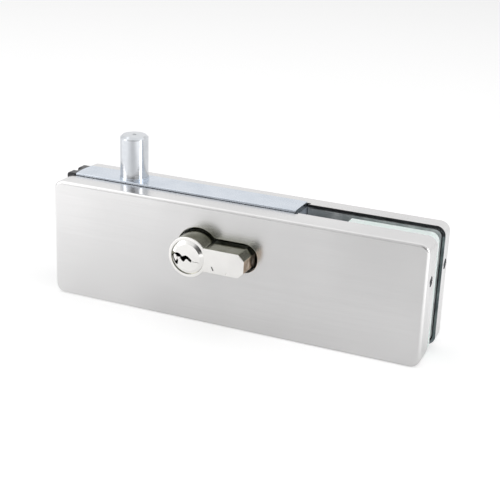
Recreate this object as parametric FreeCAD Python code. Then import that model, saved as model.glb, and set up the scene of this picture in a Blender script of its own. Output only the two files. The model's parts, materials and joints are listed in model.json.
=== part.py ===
import FreeCAD, Part
import math
import os

# A locking corner patch for a frameless glass door, bolt thrown upwards.
# X runs along the patch, -Y is the front face, Z is up.
# The origin lies under the middle of the patch, in the centre plane of the glass slot.

os.makedirs("parts", exist_ok=True)
V = FreeCAD.Vector

# Covers
length = 164.0
height = 51.0
front_depth = 11.0          # front cover, from its face to its rim
rear_depth = 8.4            # rear cover, from its face to its rim
slot_width = 12.6           # between the rims of the two covers
cover_wall = 1.2
cover_corner_r = 4.0        # corners of the outline
cover_edge_r = 1.4          # drawn edge between the face and the side walls
cutout_r = 9.4              # round part of the keyhole cut-out
cutout_half_width = 6.1     # its straight part
cutout_reach = 26.2         # from the cylinder axis to its round end
cutout_neck_r = 1.3         # where the round part meets the straight one
relief_r = 0.8              # small reliefs in the corners of the rim notch

# Cover screws, one at each end of each cover
cover_screw_r = 2.0
cover_screw_length = 5.5
cover_screw_height = 34.5
cover_screw_sink = 0.3      # how far it lies inside the side wall
hex_socket_r = 1.15
hex_socket_depth = 1.8

# Clamp bodies
body_clearance = 0.5        # between a clamp body and the walls of its cover
clamp_plate = 4.0
clamp_rim = 3.0
rib = 2.0
rib_drop = 1.5              # ribs end this far short of the cover
rib_left = 25.0             # the outer pair of ribs, in from the ends of the castings
rib_right = 20.0
rib_step = 22.0             # from the left one to its neighbour
cylinder_wall = 2.4         # collar round the hole for the cylinder
cylinder_hole_gap = 0.6

# Clamp screws
clamp_screw_r = 2.5
clamp_screw_length = 22.0
clamp_head_r = 4.25
clamp_head_height = 5.0
clamp_hex_r = 2.3
clamp_hex_depth = 2.6
clamp_boss_r = 6.3
clamp_clear = 0.2           # clearance of a shank or head in the front casting
clamp_head_room = 0.5       # between a head and the inside of the front cover
clamp_screw_from_plate = 11.0   # the pair beside the glass, from the faceplate's end
clamp_screw_low = 12.5
clamp_screw_high = 38.5
floor_screw_height = 6.9    # the pair under the lock case
floor_screw_from_case = 10.0    # the left one, in from the end of the case
floor_screw_from_axis = 6.6     # the right one, to the left of the cylinder's axis

# Glass pads
pad_from_plate = 21.7       # from the faceplate's end to the pads
pad_thickness = 2.6
pad_inset = 0.5             # inside the outline of the covers

# End piece
end_piece_inset = 0.1       # from the end of the covers
end_piece_drop = 0.2        # its top below that of the faceplate
end_piece_gap = 0.1         # to the end of the faceplate
end_corner_r = 1.2
end_hollow_width = 4.4
end_hollow_depth = 3.0
end_web = 1.3               # left between the hollow and the faceplate

# Lock case and its lid
case_inset = 1.3            # its left end, in from that of the faceplate
case_floor = 12.0
case_thickness = 16.0
case_wall = 1.6
case_pocket_gap = 0.1
case_floor_gap = 0.25       # under the case
post_r = 3.0
post_inset = 4.0            # lid posts, in from the ends of the case
lid_screw_r = 1.5
lid_screw_length = 9.0
lid_head_r = 2.8
lid_slot_half = 0.25
lid_slot_depth = 0.5
fit_gap = 0.05              # radial running fit of screws, pins and plugs in their holes

# Faceplate
plate_inset = 4.7           # its left end, in from the end of the covers
plate_length = 101.3
plate_width = 13.4
plate_thickness = 2.5
plate_rise = 1.0            # how far it stands above the covers
plate_bow = 0.7             # the left end is slightly convex
plate_edge = 0.4            # chamfer of the long edges
plate_gap = 0.5             # to the notch in the cover rims
collar_height = 1.5         # drawn collar round the bolt
collar_wall = 0.55
collar_flare = 1.3

# Bolt and its slide
bolt_from_plate = 24.9      # from the left end of the faceplate
bolt_r = 6.0
bolt_length = 37.0
bolt_throw = 20.0
bolt_chamfer = 1.0
bolt_gap = 0.08             # running clearance in the collar
tongue_thickness = 4.8
tongue_gap = 0.1
tongue_height = 9.2
tongue_rise = 0.4           # the tongue starts this far above the end of the bolt
tongue_past_bolt = 5.2      # past the bolt's axis
cross_pin_r = 1.5
cross_pin_length = 11.0
cross_pin_rise = 4.8
cross_pin_edge = 0.3
slide_thickness = 9.0
slide_height = 12.8
slide_edge_gap = 0.5        # between the bolt and the thick part of the slide
slide_edge = 0.6
rod_from_bolt = 16.4
rod_r = 2.0
rod_seat = 0.8

# Brake on the bolt
brake_height = 40.0
plunger_r = 2.5
plunger_length = 6.5
plunger_gap = 0.3
plunger_edge = 0.6
brake_boss_wall = 1.6
brake_boss_end = 3.0        # the boss stops this far from the bolt
brake_spring_r = 2.1
brake_spring_wall = 0.6

# Euro profile cylinder, its leg towards +X
backset = 39.0              # from the bolt to the cylinder's axis
axis_z = 32.0
cylinder_length = 54.0
cylinder_r = 8.5
leg_half_width = 5.0
leg_reach = 24.5            # from the axis to the end of the leg
leg_chamfer = 2.4
rim_chamfer = 0.5
plug_r = 6.3
plug_head_r = 7.2
plug_head_length = 1.8
plug_rise = 0.5             # the face of the plug in front of that of the body
plug_dish = 1.9             # bevel round the face of the plug
plug_dish_depth = 0.8
plug_end = 3.9              # inner end of a plug, from the centre plane
cam_slot = 10.6
cam_sweep_gap = 0.6
clip_r = 7.5
clip_thickness = 0.6
clip_groove = 0.6
clip_opening = 3.0
case_hole_gap = 0.15

# Pin stacks
pin_r = 1.4
pin_tip_r = 0.45
driver_edge = 0.35
pin_count = 5
first_pin = 4.0             # from the face of the cylinder
last_pin = 7.8              # from the centre plane
key_depth = 2.3             # where a full-depth key would stop, from the axis
key_pin_cuts = (0.0, 0.8, 0.3, 1.1, 0.5)
driver_length = 5.5
cap_length = 2.4
shear_gap = 0.1
spring_wall = 0.35

# Cam and clutch
cam_hub_r = 7.4
cam_hub_half = 3.6
cam_bore_r = 4.6
cam_reach = 15.0
cam_head_r = 2.2
cam_neck_half = 1.25
cam_half_width = 4.8
cam_wide_from = 8.1
clutch_gap = 0.1
clutch_half = 3.3
clutch_lug_half = 1.2
clutch_lug_reach = 5.9
clutch_bore_r = 1.2

# Notch of the slide round the head of the cam
notch_half = 3.1
notch_depth_gap = 0.6
notch_corner_r = 0.8
mouth_from_axis = 7.7

# Fixing screw, up through the floor of the case into the web of the cylinder
fix_screw_r = 2.5
fix_screw_from_axis = 20.0
fix_screw_top = 36.0
fix_head_r = 4.6
fix_head_height = 2.6
fix_boss_r = 6.2
fix_boss_height = 4.0
fix_head_sink = 0.4         # how far the head lies inside the floor
fix_slot_half = 0.6
fix_slot_depth = 1.2

# Values that follow from the ones above
half_slot = slot_width / 2
half_case = case_thickness / 2
half_plate = plate_width / 2
front_face = -(half_slot + front_depth)
rear_face = half_slot + rear_depth
plate_left = plate_inset - length / 2
plate_right = plate_left + plate_length
plate_top = height + plate_rise
case_left = plate_left + case_inset
case_right = plate_right
case_top = plate_top - plate_thickness
bolt_x = plate_left + bolt_from_plate
rod_x = bolt_x + rod_from_bolt
axis_x = bolt_x + backset
clamp_screw_x = plate_right + clamp_screw_from_plate
floor_screws_x = (case_left + floor_screw_from_case, axis_x - floor_screw_from_axis)
pad_start = plate_right + pad_from_plate
bolt_top = height + bolt_throw
bolt_end = bolt_top - bolt_length
slide_mouth = axis_x - mouth_from_axis
cam_head_at = cam_reach - cam_head_r
cam_swing = math.asin(bolt_throw / 2 / cam_head_at)
notch_z = axis_z + bolt_throw / 2
cylinder_face = cylinder_length / 2
pin_pitch = (cylinder_face - first_pin - last_pin) / (pin_count - 1)
fix_screw_x = axis_x + fix_screw_from_axis
fix_seat = case_floor + fix_head_sink + fix_head_height
far = 400.0
tolerance = 1e-6
near = 0.01


def box(x0, x1, y0, y1, z0, z1):
    return Part.makeBox(x1 - x0, y1 - y0, z1 - z0, V(x0, y0, z0))


def cyl_x(r, x0, x1, y, z):
    return Part.makeCylinder(r, x1 - x0, V(x0, y, z), V(1, 0, 0))


def cyl_y(r, y0, y1, x, z):
    return Part.makeCylinder(r, y1 - y0, V(x, y0, z), V(0, 1, 0))


def cyl_z(r, z0, z1, x, y):
    return Part.makeCylinder(r, z1 - z0, V(x, y, z0), V(0, 0, 1))


def cone_y(r0, r1, y0, y1, x, z):
    return Part.makeCone(r0, r1, y1 - y0, V(x, y0, z), V(0, 1, 0))


def hexagon(r, centre, direction, depth):
    """A hexagonal socket cutter."""
    points = []
    along = V(*direction)
    side = V(0, 0, 1)
    across = along.cross(side)
    for i in range(7):
        turn = math.radians(60 * i)
        points.append(V(*centre) + side * (r * math.cos(turn)) + across * (r * math.sin(turn)))
    return Part.Face(Part.makePolygon(points)).extrude(along * depth)


def edges_along(shape, axis, keep=lambda middle: True):
    """Straight edges parallel to an axis whose middle passes the test."""
    found = []
    for edge in shape.Edges:
        if isinstance(edge.Curve, Part.Line):
            line = edge.Curve.Direction
            if abs(abs(line.dot(V(*axis))) - 1) < tolerance and keep(edge.CenterOfMass):
                found.append(edge)
    return found


def edges_in_plane(shape, y):
    """Edges that lie in the plane at this y."""
    found = []
    for edge in shape.Edges:
        bound = edge.BoundBox
        if abs(bound.YMin - y) < tolerance and abs(bound.YMax - y) < tolerance:
            found.append(edge)
    return found


def rounded_block(x0, x1, y0, y1, z0, z1, r):
    """A block whose four edges along Y are rounded."""
    block = box(x0, x1, y0, y1, z0, z1)
    return block.makeFillet(r, edges_along(block, (0, 1, 0)))


def keyhole(r, half_width, reach, y0, y1, chamfer=0.0, neck=0.0):
    """The cylinder's section: a round part and a leg towards +X, its end and neck as asked."""
    disc = cyl_y(r, y0, y1, axis_x, axis_z)
    leg = box(axis_x, axis_x + reach, y0, y1, axis_z - half_width, axis_z + half_width)
    end = edges_along(leg, (0, 1, 0), lambda middle: middle.x > axis_x + reach / 2)
    if chamfer:
        leg = leg.makeChamfer(chamfer, end)
    else:
        leg = leg.makeFillet(half_width - fit_gap, end)
    shape = disc.fuse(leg).removeSplitter()
    if neck:
        neck_x = axis_x + math.sqrt(r ** 2 - half_width ** 2)
        shape = shape.makeFillet(neck, edges_along(shape, (0, 1, 0), lambda m: abs(m.x - neck_x) < near))
    return shape


def fuse_all(shapes):
    return shapes[0].fuse(shapes[1:]).removeSplitter()


def save(shape, node):
    shape.exportStep("parts/" + node + ".step")


# Covers


def cover_shell(face, rim):
    """A drawn tray with its open side at the rim."""
    inward = 1 if rim > face else -1
    half = length / 2
    outer = rounded_block(-half, half, min(face, rim), max(face, rim), 0, height, cover_corner_r)
    outer = outer.makeFillet(cover_edge_r, edges_in_plane(outer, face))
    inner_face = face + inward * cover_wall
    inner = rounded_block(-half + cover_wall, half - cover_wall,
                          min(inner_face, rim + inward), max(inner_face, rim + inward),
                          cover_wall, height - cover_wall, cover_corner_r - cover_wall)
    inner = inner.makeFillet(cover_edge_r - cover_wall, edges_in_plane(inner, inner_face))
    return outer.cut(inner)


def rim_notch(side):
    """Clearance in the top rim for the faceplate, with relieved corners."""
    edge = half_plate + plate_gap
    left = plate_left - plate_bow - plate_gap
    right = plate_right + plate_gap
    low = height - cover_wall - 1
    high = height + 1
    cut = box(left, right, min(0, side * edge), max(0, side * edge), low, high)
    reliefs = [cyl_z(relief_r, low, high, x, side * edge) for x in (left, right)]
    return fuse_all([cut] + reliefs)


def make_cover(node, side, face, screw_y):
    rim = side * half_slot
    cover = cover_shell(face, rim)
    cutter = keyhole(cutout_r, cutout_half_width, cutout_reach, min(face, rim) - 1, max(face, rim) + 1,
                     neck=cutout_neck_r)
    cover = cover.cut([cutter, rim_notch(side),
                       cyl_x(cover_screw_r + 2 * fit_gap, -far, far, screw_y, cover_screw_height)])
    save(cover, node)


def make_cover_screws(node, screw_y):
    """A socket set screw at each end, flush with the side wall."""
    screws = []
    for end in (-1, 1):
        outside = end * (length / 2 - cover_screw_sink)
        inside = outside - end * cover_screw_length
        screw = cyl_x(cover_screw_r, min(outside, inside), max(outside, inside), screw_y, cover_screw_height)
        socket = hexagon(hex_socket_r, (outside, screw_y, cover_screw_height), (-end, 0, 0),
                         hex_socket_depth)
        screws.append(screw.cut(socket))
    save(Part.makeCompound(screws), node)


# Clamp bodies


def clamp_positions():
    beside_glass = [(clamp_screw_x, clamp_screw_low), (clamp_screw_x, clamp_screw_high)]
    return beside_glass + [(x, floor_screw_height) for x in floor_screws_x]


def make_clamp_body(node, side, face, screw_y, headed):
    """A ribbed casting: a plate on the glass side, a rim and bosses towards the cover."""
    inset = cover_wall + body_clearance
    x1 = length / 2 - inset
    z0 = inset
    z1 = height - inset
    glass = side * half_slot
    back = face - side * cover_wall
    plate_back = glass + side * clamp_plate
    rib_back = back - side * rib_drop
    corner = cover_corner_r - cover_wall

    def span(a, b):
        return (min(a, b), max(a, b))

    outline = rounded_block(-x1, x1, *span(glass, back), z0, z1, corner)
    hollow = rounded_block(-x1 + clamp_rim, x1 - clamp_rim, *span(plate_back, back + side),
                           z0 + clamp_rim, z1 - clamp_rim, corner)
    casting = outline.cut(hollow)

    extras = [keyhole(cutout_r + cylinder_wall, cutout_half_width + cylinder_wall,
                      cutout_reach + cylinder_wall, *span(plate_back, rib_back))]
    for x, z in clamp_positions():
        extras.append(cyl_y(clamp_boss_r, *span(plate_back, back), x, z))
    for x in (-x1 + rib_left, -x1 + rib_left + rib_step, x1 - rib_right):
        extras.append(box(x - rib / 2, x + rib / 2, *span(plate_back, rib_back), z0, z1))
    extras.append(box(-x1, x1, *span(plate_back, rib_back), axis_z - rib / 2, axis_z + rib / 2))
    pad_half = cover_screw_r + clamp_rim
    for end in (-1, 1):
        extras.append(box(*span(end * x1, end * (x1 - cover_screw_length)), *span(plate_back, back),
                          cover_screw_height - pad_half, cover_screw_height + pad_half))
    casting = casting.fuse([extra.common(outline) for extra in extras]).removeSplitter()

    pocket = box(plate_left - plate_bow - plate_gap, case_right + plate_gap,
                 *span(0, side * (half_case + case_pocket_gap)), case_floor - case_floor_gap, height)
    cuts = [pocket, keyhole(cylinder_r + cylinder_hole_gap, leg_half_width + cylinder_hole_gap,
                            leg_reach + cylinder_hole_gap, *span(0, face), leg_chamfer)]
    cuts.append(cyl_x(cover_screw_r + fit_gap, -far, far, screw_y, cover_screw_height)
                .cut(box(-x1 + cover_screw_length + 1, x1 - cover_screw_length - 1, -far, far, -far, far)))
    for x, z in clamp_positions():
        if headed:
            cuts.append(cyl_y(clamp_screw_r + clamp_clear, *span(0, back), x, z))
            cuts.append(cyl_y(clamp_head_r + clamp_clear, *span(head_seat(), face), x, z))
        else:
            cuts.append(cyl_y(clamp_screw_r + fit_gap, *span(0, back), x, z))
    save(casting.cut(cuts), node)


def head_seat():
    """Where the heads of the clamp screws bear on the front clamp body."""
    return front_face + cover_wall + clamp_head_room + clamp_head_height


def make_clamp_screws():
    screws = []
    for x, z in clamp_positions():
        seat = head_seat()
        screw = cyl_y(clamp_screw_r, seat, seat + clamp_screw_length, x, z)
        screw = screw.fuse(cyl_y(clamp_head_r, seat - clamp_head_height, seat, x, z))
        socket = hexagon(clamp_hex_r, (x, seat - clamp_head_height, z), (0, 1, 0), clamp_hex_depth)
        screws.append(screw.removeSplitter().cut(socket))
    save(Part.makeCompound(screws), "clamp_screws")


# Glass pads and end piece


def make_pad(node, layer):
    """One layer of the pad between the front clamp body and the glass."""
    y0 = -half_slot + layer * pad_thickness
    pad = box(pad_start, length / 2 - pad_inset, y0, y0 + pad_thickness, pad_inset, height - pad_inset)
    corners = edges_along(pad, (0, 1, 0), lambda middle: middle.x > pad_start + 1)
    save(pad.makeFillet(cover_corner_r - pad_inset, corners), node)


def make_end_piece():
    """Filler between the cover rims, hollowed towards the bowed end of the faceplate."""
    left = -length / 2 + end_piece_inset
    right = plate_left - end_piece_gap
    top = plate_top - end_piece_drop
    piece = box(left, right, -half_slot, half_slot, pad_inset, top)
    outer = edges_along(piece, (0, 1, 0), lambda middle: middle.x < (left + right) / 2)
    piece = piece.makeFillet(end_corner_r, outer)
    start = V(right, half_plate, 0)
    end = V(right, -half_plate, 0)
    bow = Part.Wire([Part.Arc(start, V(right - plate_bow, 0, 0), end).toShape(),
                     Part.LineSegment(end, start).toShape()])
    hollow = box(left - 1, right - plate_bow - end_web, -end_hollow_width / 2, end_hollow_width / 2,
                 top - end_hollow_depth, top + 1)
    save(piece.cut([hollow, Part.Face(bow).extrude(V(0, 0, far))]), "end_piece")


# Lock case


def post_positions():
    low = case_floor + post_inset
    high = case_top - post_inset
    left = case_left + post_inset
    right = case_right - post_inset
    return [(left, low), (left + 2 * post_r, high), (right, low), (right, high)]


def make_lock_case():
    """A box open towards the rear, with posts, the brake's boss and the fixing screw's boss."""
    front = -half_case
    open_side = half_case - case_wall
    shell = box(case_left, case_right, front, open_side, case_floor, case_top)
    room = box(case_left + case_wall, case_right - case_wall, front + case_wall, far,
               case_floor + case_wall, case_top - case_wall)
    shell = shell.cut(room)
    bosses = [cyl_y(post_r, front, open_side, x, z) for x, z in post_positions()]
    boss_r = plunger_r + fit_gap + brake_boss_wall
    bosses.append(cyl_x(boss_r, case_left, bolt_x - bolt_r - brake_boss_end, 0, brake_height))
    bosses.append(cyl_z(fix_boss_r, case_floor, case_floor + fix_boss_height, fix_screw_x, 0))
    shell = shell.fuse(bosses).removeSplitter()
    cuts = [
        keyhole(cylinder_r + case_hole_gap, leg_half_width + case_hole_gap,
                leg_reach + case_hole_gap, -far, 0, leg_chamfer),
        cyl_z(bolt_r + bolt_gap, case_top - case_wall - 1, case_top + 1, bolt_x, 0),
        cyl_z(rod_r + fit_gap, case_floor + case_wall - rod_seat, case_top - case_wall + rod_seat, rod_x, 0),
        cyl_x(plunger_r + fit_gap, case_left + case_wall, bolt_x, 0, brake_height),
        cyl_z(fix_screw_r + fit_gap, case_floor - 1, case_floor + fix_boss_height + 1, fix_screw_x, 0),
        cyl_z(fix_head_r + clamp_clear, case_floor - 1, fix_seat, fix_screw_x, 0),
    ]
    for x, z in post_positions():
        cuts.append(cyl_y(lid_screw_r + fit_gap, half_case - lid_screw_length - 1, far, x, z))
    shell = shell.cut(cuts)
    save(shell, "lock_case")


def make_case_lid():
    inner = half_case - case_wall
    lid = box(case_left, case_right, inner, half_case, case_floor, case_top)
    cuts = [keyhole(cylinder_r + case_hole_gap, leg_half_width + case_hole_gap,
                    leg_reach + case_hole_gap, 0, far, leg_chamfer)]
    for x, z in post_positions():
        cuts.append(cyl_y(lid_screw_r + fit_gap, inner - 1, half_case + 1, x, z))
        cuts.append(lid_head(x, z, fit_gap))
    save(lid.cut(cuts), "case_lid")


def lid_head(x, z, gap):
    """Countersunk head of a lid screw."""
    rise = lid_head_r - lid_screw_r
    return cone_y(lid_screw_r + gap, lid_head_r + gap, half_case - rise, half_case, x, z)


def make_lid_screws():
    screws = []
    for x, z in post_positions():
        shank = cyl_y(lid_screw_r, half_case - lid_screw_length, half_case, x, z)
        screw = shank.fuse(lid_head(x, z, 0)).removeSplitter()
        slot = box(x - far, x + far, half_case - lid_slot_depth, far, z - lid_slot_half, z + lid_slot_half)
        screws.append(screw.cut(slot))
    save(Part.makeCompound(screws), "lid_screws")


def make_faceplate():
    """A strip with a slightly convex left end and a collar drawn up round the bolt."""
    start = V(plate_left, half_plate, case_top)
    middle = V(plate_left - plate_bow, 0, case_top)
    end = V(plate_left, -half_plate, case_top)
    corner_a = V(plate_right, -half_plate, case_top)
    corner_b = V(plate_right, half_plate, case_top)
    outline = Part.Wire([
        Part.Arc(start, middle, end).toShape(),
        Part.LineSegment(end, corner_a).toShape(),
        Part.LineSegment(corner_a, corner_b).toShape(),
        Part.LineSegment(corner_b, start).toShape(),
    ])
    plate = Part.Face(outline).extrude(V(0, 0, plate_thickness))
    long_edges = edges_along(plate, (1, 0, 0), lambda middle: middle.z > plate_top - plate_edge)
    plate = plate.makeChamfer(plate_edge, long_edges)

    neck_r = bolt_r + bolt_gap + collar_wall
    foot_r = neck_r + collar_flare
    bend_z = plate_top + collar_flare
    bend = V(foot_r - collar_flare * math.sqrt(0.5), 0, bend_z - collar_flare * math.sqrt(0.5))
    foot = V(foot_r, 0, plate_top)
    neck = V(neck_r, 0, bend_z)
    lip = V(neck_r, 0, plate_top + collar_height)
    profile = [
        Part.LineSegment(V(0, 0, plate_top - plate_edge), V(foot_r, 0, plate_top - plate_edge)).toShape(),
        Part.LineSegment(V(foot_r, 0, plate_top - plate_edge), foot).toShape(),
        Part.Arc(foot, bend, neck).toShape(),
        Part.LineSegment(neck, lip).toShape(),
        Part.LineSegment(lip, V(0, 0, plate_top + collar_height)).toShape(),
        Part.LineSegment(V(0, 0, plate_top + collar_height), V(0, 0, plate_top - plate_edge)).toShape(),
    ]
    collar = Part.Face(Part.Wire(profile)).revolve(V(0, 0, 0), V(0, 0, 1), 360)
    collar.translate(V(bolt_x, 0, 0))
    strip = box(plate_left, plate_right, -half_plate + plate_edge, half_plate - plate_edge, case_top, far)
    plate = plate.fuse(collar.common(strip)).removeSplitter()
    hole = cyl_z(bolt_r + bolt_gap, case_top - 1, plate_top + collar_height + 1, bolt_x, 0)
    save(plate.cut(hole), "faceplate")


# Bolt, slide and brake


def make_bolt_pin():
    pin = cyl_z(bolt_r, bolt_end, bolt_top, bolt_x, 0)
    top = [edge for edge in pin.Edges if edge.BoundBox.ZMin > bolt_top - near]
    pin = pin.makeChamfer(bolt_chamfer, top)
    slot_half = tongue_thickness / 2 + tongue_gap
    slot_top = bolt_end + tongue_rise + tongue_height + tongue_gap
    slot = box(bolt_x - far, bolt_x + far, -slot_half, slot_half, bolt_end - 1, slot_top)
    cross = cyl_y(cross_pin_r + fit_gap, -far, far, bolt_x, bolt_end + cross_pin_rise)
    save(pin.cut([slot, cross]), "bolt_pin")


def make_cross_pin():
    half = cross_pin_length / 2
    pin = cyl_y(cross_pin_r, -half, half, bolt_x, bolt_end + cross_pin_rise)
    save(pin.makeChamfer(cross_pin_edge, pin.Edges[0:1] + pin.Edges[2:3]), "slide_cross_pin")


def make_bolt_slide():
    """The carriage: a tongue in the bolt, a block on the guide rod and a notch for the cam."""
    low = bolt_end
    high = low + slide_height
    left = bolt_x + bolt_r + slide_edge_gap
    half = slide_thickness / 2
    block = box(left, slide_mouth, -half, half, low, high)
    notch = box(axis_x - cam_reach - notch_depth_gap, slide_mouth + 1, -far, far,
                notch_z - notch_half, notch_z + notch_half)
    notch = notch.makeFillet(notch_corner_r, edges_along(notch, (0, 1, 0), lambda m: m.x < slide_mouth))
    block = block.cut(notch)
    lips = edges_along(block, (0, 1, 0),
                       lambda m: m.x > slide_mouth - near and abs(m.z - notch_z) < notch_half + near)
    block = block.makeFillet(notch_corner_r, lips)
    ends = edges_along(block, (0, 1, 0), lambda m: m.x < left + near or m.z < low + near)
    block = block.makeChamfer(slide_edge, ends)
    tongue_half = tongue_thickness / 2
    tongue = box(bolt_x - tongue_past_bolt, left + slide_edge, -tongue_half, tongue_half,
                 low + tongue_rise + slide_edge, low + tongue_rise + tongue_height)
    slide = block.fuse(tongue).removeSplitter()
    slide = slide.cut([cyl_z(rod_r + 2 * fit_gap, -far, far, rod_x, 0),
                       cyl_y(cross_pin_r + fit_gap, -far, far, bolt_x, low + cross_pin_rise)])
    save(slide, "bolt_slide")


def make_guide_rod():
    low = case_floor + case_wall - rod_seat
    high = case_top - case_wall + rod_seat
    save(cyl_z(rod_r, low, high, rod_x, 0), "guide_rod")


def make_brake():
    tip = bolt_x - bolt_r - plunger_gap
    tail = tip - plunger_length
    plunger = cyl_x(plunger_r, tail, tip, 0, brake_height)
    edge = [e for e in plunger.Edges if e.BoundBox.XMin > tip - near]
    plunger = plunger.makeChamfer(plunger_edge, edge)
    save(plunger, "brake_plunger")

    seat = case_left + case_wall
    spring = cyl_x(brake_spring_r, seat, tail, 0, brake_height)
    spring = spring.cut(cyl_x(brake_spring_r - brake_spring_wall, seat, tail, 0, brake_height))
    save(spring, "brake_spring")


# Cylinder


def pin_offsets():
    """Distances of the pin stacks from the centre plane."""
    return [cylinder_face - first_pin - i * pin_pitch for i in range(pin_count)]


def make_cylinder_body():
    body = keyhole(cylinder_r, leg_half_width, leg_reach, -cylinder_face, cylinder_face, leg_chamfer)
    for y in (-cylinder_face, cylinder_face):
        body = body.makeChamfer(rim_chamfer, edges_in_plane(body, y))
    cam_room = cam_reach + cam_sweep_gap
    cuts = [
        box(axis_x - far, axis_x + cam_room, -cam_slot / 2, cam_slot / 2, -far, far),
        cyl_y(plug_r + fit_gap, -far, far, axis_x, axis_z),
        cyl_y(plug_head_r + fit_gap, -far, -cylinder_face + plug_head_length, axis_x, axis_z),
        cyl_y(plug_head_r + fit_gap, cylinder_face - plug_head_length, far, axis_x, axis_z),
        cyl_z(fix_screw_r + fit_gap, -far, far, fix_screw_x, 0),
    ]
    for offset in pin_offsets():
        for y in (-offset, offset):
            cuts.append(cyl_x(pin_r + fit_gap, axis_x, axis_x + far, y, axis_z))
    save(body.cut(cuts), "cylinder_body")


def keyway(y0, y1):
    """A warded slot from the plug's rim to just past its centre."""
    upper = [(-8.0, 1.2), (-6.2, 1.35), (-5.2, 1.15), (-4.0, 1.35), (-3.1, 0.95), (-2.1, -0.05),
             (-1.5, 0.3), (-0.6, 0.65), (0.3, 0.4), (2.1, -0.8)]
    lower = [(2.1, -1.5), (1.0, -1.05), (0.2, -0.45), (-0.5, -0.55), (-0.9, -1.2), (-1.4, -1.8),
             (-2.0, -1.5), (-2.8, -0.7), (-3.5, -0.75), (-4.0, -1.6), (-4.3, -3.3), (-5.0, -3.2),
             (-6.0, -1.8), (-6.6, -0.6), (-8.0, -0.4)]
    points = [V(axis_x + u, y0, axis_z + w) for u, w in upper + lower]
    return Part.Face(Part.makePolygon(points + points[:1])).extrude(V(0, y1 - y0, 0))


def make_plug(node, side):
    """A plug with its head, bevelled face, keyway, pin bores and clip groove."""
    def span(a, b):
        return (min(side * a, side * b), max(side * a, side * b))

    face = cylinder_face + plug_rise
    shank = cyl_y(plug_r, *span(plug_end, face), axis_x, axis_z)
    head_start = cylinder_face - plug_head_length + fit_gap
    head = cyl_y(plug_head_r, *span(head_start, face), axis_x, axis_z)
    plug = shank.fuse(head).removeSplitter()
    bevel = Part.makeCone(plug_head_r - plug_dish, plug_head_r, plug_dish_depth,
                          V(axis_x, side * face, axis_z), V(0, -side, 0))
    rim_ring = cyl_y(plug_head_r + 1, *span(face - plug_dish_depth, face), axis_x, axis_z).cut(bevel)
    cuts = [rim_ring, keyway(*span(plug_end - 1, face + 1))]
    for offset in pin_offsets():
        cuts.append(cyl_x(pin_r + fit_gap, axis_x + key_depth / 2, axis_x + far, side * offset, axis_z))
    groove = cyl_y(plug_r + 1, *clip_span(side, fit_gap), axis_x, axis_z)
    cuts.append(groove.cut(cyl_y(plug_r - clip_groove, -far, far, axis_x, axis_z)))
    save(plug.cut(cuts), node)


def clip_span(side, gap):
    """Where the clip lies, just inside the cam slot."""
    outside = cam_slot / 2 - fit_gap
    ends = (side * (outside - clip_thickness - gap), side * (outside + gap))
    return (min(ends), max(ends))


def make_clip(node, side):
    ring = cyl_y(clip_r, *clip_span(side, 0), axis_x, axis_z)
    ring = ring.cut(cyl_y(plug_r - clip_groove + fit_gap, -far, far, axis_x, axis_z))
    opening = box(axis_x - far, axis_x, -far, far, axis_z - clip_opening / 2, axis_z + clip_opening / 2)
    save(ring.cut(opening), node)


def make_key_pins(node, side):
    """Pointed pins that ride in the plug and end at its surface."""
    pins = []
    outer = axis_x + math.sqrt(plug_r ** 2 - pin_r ** 2) - shear_gap
    for offset, cut in zip(pin_offsets(), key_pin_cuts):
        point = axis_x + key_depth - cut
        pin = cyl_x(pin_r, point + pin_r, outer, side * offset, axis_z)
        tip = Part.makeCone(pin_tip_r, pin_r, pin_r, V(point, side * offset, axis_z), V(1, 0, 0))
        pins.append(pin.fuse(tip).removeSplitter())
    save(Part.makeCompound(pins), node)


def make_chamber_pieces():
    """Driver pins, their springs and the caps that close the chambers."""
    drivers = []
    springs = []
    caps = []
    inner = axis_x + plug_r + fit_gap + 2 * shear_gap
    end = axis_x + leg_reach
    cap_start = end - cap_length
    for offset in pin_offsets():
        for y in (-offset, offset):
            driver = cyl_x(pin_r, inner, inner + driver_length, y, axis_z)
            edge = [e for e in driver.Edges if e.BoundBox.XMax < inner + near]
            drivers.append(driver.makeChamfer(driver_edge, edge))
            spring = cyl_x(pin_r, inner + driver_length, cap_start, y, axis_z)
            springs.append(spring.cut(cyl_x(pin_r - spring_wall, inner, end, y, axis_z)))
            caps.append(cyl_x(pin_r, cap_start, end, y, axis_z))
    save(Part.makeCompound(drivers), "driver_pins")
    save(Part.makeCompound(springs), "pin_springs")
    save(Part.makeCompound(caps), "chamber_caps")


def arm(half_width, half_depth, start):
    """A flat bar from a radius to the head of the cam, along +X of the cylinder axis."""
    bar = box(axis_x + start, axis_x + cam_head_at, -half_depth, half_depth,
              axis_z - half_width, axis_z + half_width)
    head = cyl_y(cam_head_r, -half_depth, half_depth, axis_x + cam_head_at, axis_z)
    return bar.fuse(head)


def make_cam():
    """A hub with a necked arm, at the thrown end of its swing."""
    hub = cyl_y(cam_hub_r, -cam_hub_half, cam_hub_half, axis_x, axis_z)
    cam = fuse_all([hub, arm(cam_neck_half, cam_hub_half, cam_bore_r + 1),
                    arm(cam_neck_half, cam_half_width, cam_wide_from)])
    lug_room = clutch_lug_half + clutch_gap
    keyways = box(axis_x - clutch_lug_reach - clutch_gap, axis_x + clutch_lug_reach + clutch_gap,
                  -far, far, axis_z - lug_room, axis_z + lug_room)
    cam = cam.cut([cyl_y(cam_bore_r, -far, far, axis_x, axis_z), keyways])
    swing_cam(cam)
    save(cam, "cam")


def swing_cam(shape):
    """Turn from +X to the thrown position, up and to the left."""
    shape.rotate(V(axis_x, 0, axis_z), V(0, -1, 0), 180 - math.degrees(cam_swing))


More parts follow.
